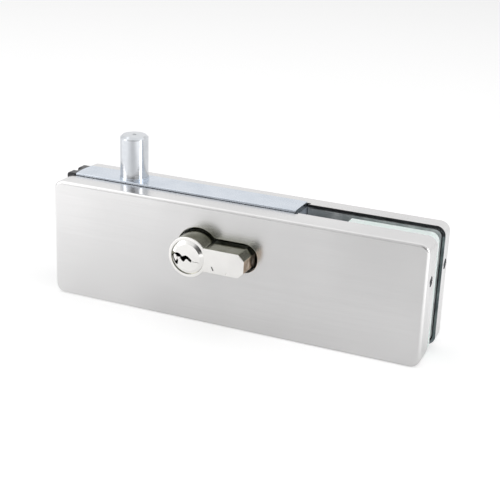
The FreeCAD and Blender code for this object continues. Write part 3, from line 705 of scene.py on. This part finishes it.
def makeCover(node, side):
    low, high = nodeBox(node)
    rim, face = (high.y, low.y) if side < 0 else (low.y, high.y)
    screwLow, screwHigh = nodeBox(node + "_screws")
    cover = coverShell(node + "_shell", low, high, rim, face)
    cutCover(cover, side, low, high, (screwLow.y + screwHigh.y) / 2, (screwLow.z + screwHigh.z) / 2)
    paintLitEnds(cover, high, rim)
    # the rounded rim of the cut-out gets the painted highlight
    cover.data.materials.append(rimHighlight)
    editMesh(cover.data, mergeClose)
    editMesh(cover.data, roundCutout, face, len(cover.data.materials) - 1)
    return finishPiece(cover, "patch", [node], covers["edge"])


for coverNode, coverSide in (("front_cover", -1), ("rear_cover", 1)):
    makeCover(coverNode, coverSide)
print("covers made")


# Faceplate with the collar round the bolt

faceplate = {
    "thickness": 2.5,
    "topEdge": 0.25,
    "topSteps": 4,
    "edge": 0.06,
    "edgeSteps": 2,
    "edgeAngle": 40,
    "bow": 0.7,                 # the left end is slightly convex
    "bowSteps": 16,
    "collarGap": 0.06,
    "collarWall": 0.24,
    "collarFlare": 0.1,
    "collarHeight": 1.1,
    "collarSink": 1.0,          # the collar's foot starts this far inside the plate
    "flareSteps": 4,
    "holeSteps": 96,
}
plateHalf = plateHigh.y
bowRadius = (plateHalf ** 2 + faceplate["bow"] ** 2) / (2 * faceplate["bow"])


def plateStrip(bottom, top):
    swing = 2 * math.asin(plateHalf / bowRadius)
    bm, _ = arcOutline((plateLow.x + faceplate["bow"], plateHalf, bottom),
                       (plateLow.x + bowRadius, 0, bottom), (0, 0, 1), swing, faceplate["bowSteps"],
                       [(plateHigh.x, side * plateHalf, bottom) for side in (-1, 1)])
    extrudeAll(bm, (0, 0, top - bottom))
    roundEdges(bm, flatAt(bm.edges, 2, top), faceplate["topEdge"], faceplate["topSteps"])
    return bm


def collarRing(top, bore):
    # flared where it rises from the plate
    neck = bore + faceplate["collarWall"]
    flare = faceplate["collarFlare"]
    foot = neck + flare
    inside = bore - faceplate["collarWall"]         # bored out below
    sunk = top - faceplate["collarSink"]
    profile = [(inside, sunk), (foot, sunk)]
    for i in range(faceplate["flareSteps"] + 1):
        turn = math.pi / 2 * i / faceplate["flareSteps"]
        profile.append((foot - flare * math.sin(turn), top + flare - flare * math.cos(turn)))
    brim = top + faceplate["collarHeight"]
    profile += [(neck, brim), (inside, brim)]
    return lathe(profile + profile[:1], (boltX, 0, 0), (0, 0, 1), (1, 0, 0))


def makeFaceplate():
    zinc = finishes["zinc_plated_plate"]
    bottom = plateLow.z
    top = bottom + faceplate["thickness"]
    bore = boltRadius + faceplate["collarGap"]
    strip = toObject("faceplate_strip", plateStrip(bottom, top), zinc)
    editMesh(strip.data, cutThrough, [((boltX, 0, 0), (1, 0, 0)), ((boltX, 0, 0), (0, 1, 0))])
    combine(strip, [collarRing(top, bore)], zinc, "UNION")
    hole = rod(bore, (boltX, 0, bottom - past), (boltX, 0, plateHigh.z + past),
               faceplate["holeSteps"])
    combine(strip, [hole], zinc)
    return finishPiece(strip, "patch", ["faceplate"], faceplate["edge"],
                       faceplate["edgeSteps"], faceplate["edgeAngle"])


makeFaceplate()
print("faceplate made")


# Bolt

bolt = {
    "chamfer": 1.0,
    "lineDepth": 0.12,          # a fine turned line under the chamfer
    "lineHalf": 0.14,
    "slotHalf": 2.5,            # slot for the carriage's tongue, which a cross pin holds
    "slotHeight": 9.7,
    "centreMark": 0.5,
    "crossRadius": 1.55,
    "crossRise": 4.8,
    "crossSteps": 32,
    "across": 10,               # half the length of the tools that cut these two
    "edge": 0.06,
    "edgeSteps": 2,
}


def makeBolt():
    low, high = boltLow.z, boltHigh.z
    shoulder = high - bolt["chamfer"]
    lineZ = shoulder - 2 * bolt["lineHalf"]
    profile = [
        (0, low), (boltRadius, low), (boltRadius, lineZ - bolt["lineHalf"]),
        (boltRadius - bolt["lineDepth"], lineZ), (boltRadius, lineZ + bolt["lineHalf"]),
        (boltRadius, shoulder),
        (boltRadius - bolt["chamfer"], high), (bolt["centreMark"] * 2, high),
        (0, high - bolt["centreMark"]),
    ]
    zinc = finishes["zinc_plated_bolt"]
    pin = toObject("bolt_round", lathe(profile, (boltX, 0, 0), (0, 0, 1), (1, 0, 0)), zinc)
    across, crossZ = bolt["across"], low + bolt["crossRise"]
    slot = block((boltX - across, -bolt["slotHalf"], low - past),
                 (boltX + across, bolt["slotHalf"], low + bolt["slotHeight"]))
    cross = rod(bolt["crossRadius"], (boltX, -across, crossZ), (boltX, across, crossZ),
                bolt["crossSteps"])
    combine(pin, [slot, cross], zinc)
    return finishPiece(pin, "bolt", ["bolt_pin"], bolt["edge"],
                       bolt["edgeSteps"])


makeBolt()
print("bolt made")


# Key cylinder

cylinder = {
    "radius": 8.5,
    "legHalf": 5.0,
    "legReach": 24.5,
    "legChamfer": 2.4,
    "edge": 0.3,                # along the outline
    "fineEdge": 0.05,           # round the bores
    "fineSteps": 2,
    "plugRadius": 6.35,
    "headGap": 0.05,
    "headLength": 1.8,
    "camSlotHalf": 5.3,
    "camRoom": 15.6,
    "screwFromAxis": 20.0,
    "screwRadius": 2.55,
    "screwSteps": 40,
    "pinRadius": 1.45,
    "firstPin": 4.0,
    "pinPitch": 3.8,
    "pinCount": 5,
    "stakeFromAxis": 11.0,      # small stake mark on the face of the leg
    "stakeDrop": 2.9,
    "stake": [(-0.6, 0.85), (-0.1, 0.75), (0.65, -0.85), (0.15, -0.75)],
    "stakeDepth": 0.4,
    "dimpleFromAxis": 17.1,
    "dimpleDrop": 4.0,
    "dimpleRadius": 0.5,
    "dimpleDepth": 0.3,
    "dimpleFloor": 0.1,
    "dimpleSteps": 20,
    "roundSteps": 120,
    "pinSteps": 24,
    "across": 20,               # the tools of the cam slot, the screw and the pins reach this far
    "screwAcross": 10,
    "pinAcross": 30,
    "flankTurn": 0.5,           # faces whose normal has less of Y than this are flanks
    "endTurn": 0.3,             # and those at the end of the leg, with less of Z, are bare
    "endMargin": 0.1,
}
headRadius = (plugHigh.x - plugLow.x) / 2       # head of the plug


def prism(points, side, near, far):
    # an outline round the cylinder's axis, drawn out along it
    bm = bmesh.new()
    bm.faces.new([bm.verts.new((axisX + u, side * near, axisZ + w)) for u, w in points])
    return extrudeAll(bm, (0, side * (far - near), 0))


def pinPlaces():
    face = bodyHigh.y
    return [face - cylinder["firstPin"] - i * cylinder["pinPitch"]
            for i in range(cylinder["pinCount"])]


def cylinderBores(low, high):
    # for the plugs and their heads, the cam, the fixing screw and the pins
    steps, across = cylinder["roundSteps"], cylinder["across"]
    tools = [rod(cylinder["plugRadius"], (axisX, low - past, axisZ), (axisX, high + past, axisZ),
                 steps)]
    for side in (-1, 1):
        headFrom = side * (high - cylinder["headLength"])
        tools.append(rod(headRadius + cylinder["headGap"], (axisX, headFrom, axisZ),
                         (axisX, side * (high + past), axisZ), steps))
    slotHalf = cylinder["camSlotHalf"]
    tools.append(block((axisX - across, -slotHalf, axisZ - across),
                       (axisX + cylinder["camRoom"], slotHalf, axisZ + across)))
    screwX, screwAcross = axisX + cylinder["screwFromAxis"], cylinder["screwAcross"]
    tools.append(rod(cylinder["screwRadius"], (screwX, 0, axisZ - screwAcross),
                     (screwX, 0, axisZ + screwAcross), cylinder["screwSteps"]))
    for place in pinPlaces():
        for y in (-place, place):
            tools.append(rod(cylinder["pinRadius"], (axisX, y, axisZ),
                             (axisX + cylinder["pinAcross"], y, axisZ), cylinder["pinSteps"]))
    return tools


def legDimple(front):
    centre = Vector((axisX + cylinder["dimpleFromAxis"], front, axisZ - cylinder["dimpleDrop"]))
    floor = cylinder["dimpleFloor"]
    return rod(cylinder["dimpleRadius"], centre - Vector((0, floor, 0)),
               centre + Vector((0, cylinder["dimpleDepth"], 0)), cylinder["dimpleSteps"], floor)


def paintFlankShadeAndWear(body):
    # the flanks take the nickel darkened as painted shade, the end of the leg its bare brass
    flankShadeIndex = len(body.data.materials)
    for material in (shadedNickel, bareBrass):
        body.data.materials.append(material)
    endX = axisX + cylinder["legReach"] - cylinder["legChamfer"] - cylinder["endMargin"]
    for face in body.data.polygons:
        if abs(face.normal.y) < cylinder["flankTurn"]:
            bare = face.center.x > endX and face.normal.z < cylinder["endTurn"]
            face.material_index = flankShadeIndex + 1 if bare else flankShadeIndex


def makeCylinderBody():
    low, high = bodyLow.y, bodyHigh.y
    nickel = finishes["nickel_brass"]
    body = keyhole(cylinder["radius"], cylinder["legHalf"], cylinder["legReach"], low, high,
                   cylinder["legChamfer"], 1)
    body = toObject("cylinder_profile", body, nickel)
    bevelEdges(body, cylinder["edge"], edgeSteps, edgeAngle)
    screwPoint = axisPoint + Vector((cylinder["screwFromAxis"], 0, 0))
    planes = [(axisPoint, (1, 0, 0)), (axisPoint, (0, 0, 1)), (screwPoint, (1, 0, 0)),
              (axisPoint, (0, 1, 0))]
    editMesh(body.data, cutThrough, planes)
    combine(body, cylinderBores(low, high) + [legDimple(low)], nickel)
    stakeX, stakeZ = cylinder["stakeFromAxis"], -cylinder["stakeDrop"]
    stake = prism([(stakeX + u, stakeZ + w) for u, w in cylinder["stake"]], -1,
                  high - cylinder["stakeDepth"], high + past)
    # the stake mark is painted dark as shade
    combine(body, [stake], boreShade)
    paintFlankShadeAndWear(body)
    return finishPiece(body, "patch", ["cylinder_body"], cylinder["fineEdge"],
                       cylinder["fineSteps"])


plug = {
    "radius": 6.3,
    "rise": 0.5,                # the face stands this far in front of the body
    "headLength": 1.75,
    "faceRadius": 5.6,          # flat middle of the face
    "rimWidth": 0.08,
    "slopeDepth": 0.8,
    "inner": 3.9,               # inner end, from the centre plane
    "grooveFrom": 4.6,
    "grooveTo": 5.3,
    "grooveDepth": 0.6,
    "edge": 0.03,
    "edgeSteps": 2,
    "sharp": 18,                # degrees, so that the slope stays apart from the flat face
    "pinFrom": 1.15,
    "pinTo": 12,
    "keywayTop": [(-8.0, 1.3), (-6.2, 1.5), (-5.2, 1.35), (-4.0, 1.5), (-3.1, 1.15),
                  (-2.1, 0.2), (-1.5, 0.55), (-0.6, 0.85), (0.4, 0.55), (2.1, -0.75)],
    "keywayBottom": [(1.9, -1.75), (1.0, -1.35), (0.2, -0.7), (-0.5, -0.75), (-0.9, -1.35),
                     (-1.4, -2.0), (-2.0, -1.75), (-2.8, -0.85), (-3.4, -0.85), (-3.8, -1.7),
                     (-4.1, -3.5), (-5.1, -3.4), (-6.0, -2.0), (-6.6, -0.7), (-8.0, -0.5)],
    "ward": [(-6.0, 0.3), (-5.5, 0.7), (-4.9, 0.3), (-4.6, -1.0), (-4.9, -2.3), (-5.4, -1.9),
             (-6.0, -0.6)],
    "wardSink": 0.25,
    "web": [(-5.2, -0.6), (-3.3, -0.6), (-3.7, -1.9), (-5.0, -1.9)],    # carries the ward
    "webSink": 0.9,
    "slitDrop": 1.3,            # fine line past the keyway
    "slitHalf": 0.07,
    "slitFrom": 2.2,
    "slitTo": 5.4,
    "slitDepth": 0.3,
}


def makePlug(side, node):
    nickel = finishes["nickel_plug"]
    face = bodyHigh.y + plug["rise"]
    slopeY = face - plug["slopeDepth"]
    headFrom = bodyHigh.y - plug["headLength"]
    radius, grooved = plug["radius"], plug["radius"] - plug["grooveDepth"]
    profile = [
        (0, plug["inner"]), (radius, plug["inner"]), (radius, plug["grooveFrom"]),
        (grooved, plug["grooveFrom"]), (grooved, plug["grooveTo"]), (radius, plug["grooveTo"]),
        (radius, headFrom), (headRadius, headFrom), (headRadius, slopeY),
        (headRadius - plug["rimWidth"], slopeY), (plug["faceRadius"], face), (0, face),
    ]
    turned = lathe(profile, axisPoint, (0, side, 0), (1, 0, 0))
    piece = toObject(node + "_turned", turned, nickel)
    points = plug["keywayTop"] + plug["keywayBottom"]
    slitY = sorted((side * (face - plug["slitDepth"]), side * (face + past)))
    slitZ = axisZ - plug["slitDrop"]
    tools = [prism(points, side, plug["inner"] - past, face + past),
             block((axisX + plug["slitFrom"], slitY[0], slitZ - plug["slitHalf"]),
                   (axisX + plug["slitTo"], slitY[1], slitZ + plug["slitHalf"]))]
    for place in pinPlaces():
        tools.append(rod(cylinder["pinRadius"], (axisX + plug["pinFrom"], side * place, axisZ),
                         (axisX + plug["pinTo"], side * place, axisZ), cylinder["pinSteps"]))
    # the keyway, its slit and the pin bores are painted dark as shade
    combine(piece, tools, boreShade)
    wards = [prism(plug["web"], side, plug["grooveTo"], face - plug["webSink"]),
             prism(plug["ward"], side, plug["grooveTo"], face - plug["wardSink"])]
    combine(piece, wards, nickel, "UNION")
    return finishPiece(piece, node, [node], plug["edge"], plug["edgeSteps"],
                       sharp=plug["sharp"])


makeCylinderBody()
makePlug(-1, "front_plug")
makePlug(1, "rear_plug")
print("key cylinder made")


# Glass pads and the end piece

pads = {"cornerRadius": 3.5, "cornerSteps": 10, "edge": 0.35, "proud": 0.4}


def makePad(node, name):
    low, high = nodeBox(node)
    high.z += pads["proud"]
    bm = plate(upright(low, high, low.y), pads["cornerRadius"], (0, high.y - low.y, 0),
               pads["cornerSteps"], rounded=(1, 2))
    pad = toObject(name, bm, finishes["mint_pad"])
    return finishPiece(pad, "patch", [node], pads["edge"])


makePad("glass_pad_outer", "pad_outer_layer")
makePad("glass_pad_inner", "pad_inner_layer")

endPiece = {"cornerRadius": 1.2, "cornerSteps": 10, "hollowHalf": 2.2, "hollowDepth": 3.0,
            "web": 1.3, "bowSteps": 256, "edge": 0.25}


def makeEndPiece():
    low, high = nodeBox("end_piece")
    plastic = finishes["black_plastic"]
    bm = plate(upright(low, high, low.y), endPiece["cornerRadius"], (0, high.y - low.y, 0),
               endPiece["cornerSteps"], rounded=(0, 3))
    piece = toObject("end_filler", bm, plastic)
    innerX = high.x - faceplate["bow"]              # hollowed to the bow of the faceplate
    hollow = block((low.x - past, -endPiece["hollowHalf"], high.z - endPiece["hollowDepth"]),
                   (innerX - endPiece["web"], endPiece["hollowHalf"], high.z + past))
    bowed = rod(bowRadius, (innerX + bowRadius, 0, low.z - past),
                (innerX + bowRadius, 0, high.z + past), endPiece["bowSteps"])
    combine(piece, [hollow, bowed], plastic)
    return finishPiece(piece, "patch", ["end_piece"], endPiece["edge"])


makeEndPiece()
print("pads and end piece made")


# Set screws of the covers

setScrew = {
    "radius": 2.0,
    "length": 5.5,
    "socket": 1.15,
    "socketDepth": 1.8,
    "thread": 0.18,
    "pitch": 0.7,
    "start": 0.3,               # where a turn of the thread begins, in pitches
    "crest": 0.2,               # how wide it is at the crest
    "root": 0.5,                # and where it ends at the root
    "steps": 40,
}


def makeSetScrews(node, name):
    low, high = nodeBox(node)
    steel = finishes["screw_steel"]
    centreY, centreZ = (low.y + high.y) / 2, (low.z + high.z) / 2
    screws = []
    for side, outside in ((-1, low.x), (1, high.x)):
        crest, root = setScrew["radius"], setScrew["radius"] - setScrew["thread"]
        length, pitch = setScrew["length"], setScrew["pitch"]
        profile = [(0, 0), (root, 0)]
        for i in range(int(length / pitch)):
            at = (i + setScrew["start"]) * pitch
            profile += [(crest, at), (crest, at + pitch * setScrew["crest"]),
                        (root, at + pitch * setScrew["root"])]
        profile += [(root, length), (0, length)]
        screw = lathe(profile, (outside, centreY, centreZ), (-side, 0, 0), (0, 0, 1),
                      setScrew["steps"])
        screw = toObject(name, screw, steel)
        socket = rod(setScrew["socket"], (outside + side, centreY, centreZ),
                     (outside - side * setScrew["socketDepth"], centreY, centreZ), 6)
        combine(screw, [socket], steel)
        screws.append(screw)
    joined = bmesh.new()
    for screw in screws:
        joined.from_mesh(screw.data)
        bpy.data.objects.remove(screw)
    return finishPiece(toObject(name, joined, steel), "patch", [node], 0)


makeSetScrews("front_cover_screws", "front_set_screws")
makeSetScrews("rear_cover_screws", "rear_set_screws")
print("set screws made")


# The nodes that keep their own mesh get their finish by the record's slot

for part in frame["record"]["subparts"]:
    node = frame["nodes"][part["node"]]
    node.data.materials.clear()
    node.data.materials.append(finishes[part["material_slot"]])
frame["nodes"]["chamber_caps"].data.materials[0] = bareBrass    # they end flush with the leg


# Floor, light and camera

studio = {
    "floorSize": 6.0,           # in metres, as all places in the studio
    "floorColour": 0.80,
    "floorGlow": 0.42,          # what the floor adds for the camera, so that it looks white
    # what it adds in reflections in front of the object, from left to right
    "mirrorStops": [(-0.17, 0.70), (-0.11, 0.46), (-0.06, 0.38), (-0.03, 0.24), (0.03, 0.20),
                    (0.08, 0.22), (0.12, 0.55), (0.17, 0.95)],
    "mirrorBehind": 0.38,       # and behind it
    "mirrorTurn": (0, 0.05),    # from the one to the other between these places
    "worldLight": 0.50,
    "behind": 1.05,             # strength of the surroundings behind the object
    "front": 0.85,              # and in front of it
    "frontSpan": (-0.6, 0.1),   # spans are parts of a direction's X, Y or Z
    "darkTowards": (0.25, -0.94, 0.23),     # one part of the room is dark
    "darkCone": (0.93, 0.99),
    "darkness": 0.12,
    "overhead": (1.2, 0.72),    # overhead it is brighter at the left than at the right
    "overheadSpan": (0.45, 0.85),
    "overheadTurn": (-0.5, -0.34),
    "horizon": 0.45,            # the low front is dim except at the left
    "horizonSpan": (0.1, 0.3),
    "horizonFront": (-0.5, -0.2),
    "horizonLeft": (-0.55, -0.4),
    "leftLift": 0.22,           # the left side of the room is brighter
    "leftSpan": (0.0, -0.8),
}


def anyRay(tree, path, names):
    total = path.outputs[names[0]]
    for name in names[1:]:
        total = doMath(tree, "MAXIMUM", total, path.outputs[name])
    return total


def floorMirror(tree):
    # how bright a reflection sees the floor, by its place
    place = addNode(tree, "ShaderNodeTexCoord")
    split = addNode(tree, "ShaderNodeSeparateXYZ")
    tree.links.new(place.outputs["Object"], split.inputs[0])
    stops = studio["mirrorStops"]
    first, last = stops[0][0], stops[-1][0]
    ramp = addNode(tree, "ShaderNodeValToRGB")
    while len(ramp.color_ramp.elements) < len(stops):
        ramp.color_ramp.elements.new(0.5)
    for element, (at, glowing) in zip(ramp.color_ramp.elements, stops):
        element.position = (at - first) / (last - first)
        element.color = (glowing, glowing, glowing, 1)
    across = mapRange(tree, split.outputs["X"], first, last, 0, 1)
    tree.links.new(across, ramp.inputs[0])
    inFront = mapRange(tree, split.outputs["Y"], *studio["mirrorTurn"], 1, 0)
    behind = mapRange(tree, split.outputs["Y"], *studio["mirrorTurn"], 0, studio["mirrorBehind"])
    return doMath(tree, "ADD", doMath(tree, "MULTIPLY", ramp.outputs["Color"], inFront), behind)


def makeFloor():
    bm = bmesh.new()
    bmesh.ops.create_grid(bm, x_segments=1, y_segments=1, size=studio["floorSize"] / 2 / mm)
    floor = toObject("floor", bm)
    floor.data.transform(Matrix.Scale(mm, 4))
    material = bpy.data.materials.new("floor_paper")
    material.use_nodes = True
    tree = material.node_tree
    tree.nodes.clear()
    link = tree.links.new
    output = addNode(tree, "ShaderNodeOutputMaterial")
    paper = addNode(tree, "ShaderNodeBsdfDiffuse")
    paper.inputs[0].default_value = (*[studio["floorColour"]] * 3, 1)
    glow = addNode(tree, "ShaderNodeEmission")
    path = addNode(tree, "ShaderNodeLightPath")
    direct = doMath(tree, "MULTIPLY", anyRay(tree, path, ("Is Camera Ray", "Is Transmission Ray")),
                    studio["floorGlow"])
    mirrored = doMath(tree, "MULTIPLY", path.outputs["Is Glossy Ray"], floorMirror(tree))
    link(doMath(tree, "ADD", direct, mirrored), glow.inputs["Strength"])
    both = addNode(tree, "ShaderNodeAddShader")
    link(paper.outputs[0], both.inputs[0])
    link(glow.outputs[0], both.inputs[1])
    link(both.outputs[0], output.inputs[0])
    floor.data.materials.append(material)


def roomStrength(tree, generated):
    # brightness of the surroundings by direction
    split = addNode(tree, "ShaderNodeSeparateXYZ")
    tree.links.new(generated, split.inputs[0])
    x, y, z = (split.outputs[axis] for axis in "XYZ")
    depth = mapRange(tree, y, *studio["frontSpan"], studio["front"], studio["behind"])
    left = mapRange(tree, x, *studio["leftSpan"], 0, studio["leftLift"])
    room = doMath(tree, "MINIMUM", doMath(tree, "ADD", depth, left), studio["behind"])
    towards = addNode(tree, "ShaderNodeVectorMath", operation="DOT_PRODUCT")
    tree.links.new(generated, towards.inputs[0])
    towards.inputs[1].default_value = Vector(studio["darkTowards"]).normalized()
    spot = mapRange(tree, towards.outputs["Value"], *studio["darkCone"], 1, studio["darkness"])
    high = mapRange(tree, z, *studio["overheadSpan"], 0, 1)
    sideways = mapRange(tree, x, *studio["overheadTurn"], *studio["overhead"])
    above = doMath(tree, "MULTIPLY", high, doMath(tree, "SUBTRACT", sideways, 1))
    above = doMath(tree, "ADD", above, 1)
    low = mapRange(tree, z, *studio["horizonSpan"], 0, 1)
    ahead = mapRange(tree, y, *studio["horizonFront"], 0, 1)
    lowLeft = mapRange(tree, x, *studio["horizonLeft"], 1, studio["horizon"])
    horizon = doMath(tree, "MAXIMUM", doMath(tree, "MAXIMUM", low, ahead), lowLeft)
    room = doMath(tree, "MULTIPLY", room, spot)
    return doMath(tree, "MULTIPLY", room, doMath(tree, "MULTIPLY", above, horizon))


def makeWorld():
    world = bpy.data.worlds.new("studio")
    scene.world = world
    world.use_nodes = True
    tree = world.node_tree
    tree.nodes.clear()
    link = tree.links.new
    output = addNode(tree, "ShaderNodeOutputWorld")
    light = setInputs(addNode(tree, "ShaderNodeBackground"), Color=(1, 1, 1, 1),
                      Strength=studio["worldLight"])
    seen = setInputs(addNode(tree, "ShaderNodeBackground"), Color=(1, 1, 1, 1))
    place = addNode(tree, "ShaderNodeTexCoord")
    link(roomStrength(tree, place.outputs["Generated"]), seen.inputs["Strength"])
    path = addNode(tree, "ShaderNodeLightPath")
    factor = anyRay(tree, path, ("Is Camera Ray", "Is Glossy Ray", "Is Transmission Ray"))
    mix = addNode(tree, "ShaderNodeMixShader")
    link(factor, mix.inputs[0])
    link(light.outputs[0], mix.inputs[1])
    link(seen.outputs[0], mix.inputs[2])
    link(mix.outputs[0], output.inputs[0])


lamps = {                       # places and sizes in metres
    "top_soft": {
        "place": (0.0, 0.1, 0.9), "aim": (0, 0, 0.02), "size": (1.5, 1.1), "power": 2.4},
    "left_soft": {
        "place": (-0.8, -0.5, 0.5), "aim": (-0.05, 0, 0.02), "size": (0.5, 0.5), "power": 2.0},
    "right_soft": {
        "place": (0.85, -0.15, 0.3), "aim": (0, 0, 0.03), "size": (0.28, 0.6), "power": 1.9},
}


def makeLamps():
    for name, lamp in lamps.items():
        data = bpy.data.lights.new(name, "AREA")
        data.shape = "RECTANGLE"
        data.size, data.size_y = lamp["size"]
        data.energy = lamp["power"]
        obj = bpy.data.objects.new(name, data)
        obj.location = lamp["place"]
        aim = Vector(lamp["aim"]) - obj.location
        obj.rotation_euler = aim.to_track_quat("-Z", "Y").to_euler()
        scene.collection.objects.link(obj)


camera = {
    "azimuth": 22.7,
    "elevation": 20.7,
    "roll": 2.2,
    "focal": 1105,              # in pixels of the 500 pixel frame
    "distance": 461,            # in millimetres
    "frame": 500,
    "sensor": 36,
    "nearest": 0.01,
    "centreAt": (243.4, 257.9),     # where the middle of the covers falls in the frame
}


def makeCamera():
    azimuth, elevation = math.radians(camera["azimuth"]), math.radians(camera["elevation"])
    roll = math.radians(camera["roll"])
    back = Vector((math.sin(azimuth) * math.cos(elevation),
                   -math.cos(azimuth) * math.cos(elevation), math.sin(elevation)))
    level = Vector((math.cos(azimuth), math.sin(azimuth), 0))
    plumb = back.cross(level)
    right = level * math.cos(roll) + plumb * math.sin(roll)
    up = plumb * math.cos(roll) - level * math.sin(roll)
    half = camera["frame"] / 2
    perPixel = camera["distance"] / camera["focal"]
    middle = Vector(((coverLow.x + coverHigh.x) / 2, (coverLow.y + rearHigh.y) / 2,
                     (coverLow.z + coverHigh.z) / 2))
    place = middle + back * camera["distance"]
    place -= right * (camera["centreAt"][0] - half) * perPixel
    place += up * (camera["centreAt"][1] - half) * perPixel
    data = bpy.data.cameras.new("camera")
    data.sensor_width = camera["sensor"]
    data.lens = camera["focal"] * data.sensor_width / camera["frame"]
    data.clip_start = camera["nearest"]
    obj = bpy.data.objects.new("camera", data)
    turn = Matrix((right, up, back)).transposed().to_4x4()
    obj.matrix_world = Matrix.Translation(place * mm) @ turn
    scene.collection.objects.link(obj)
    scene.camera = obj


makeFloor()
makeWorld()
makeLamps()
makeCamera()
scene.view_settings.view_transform = "Standard"
print("studio made")
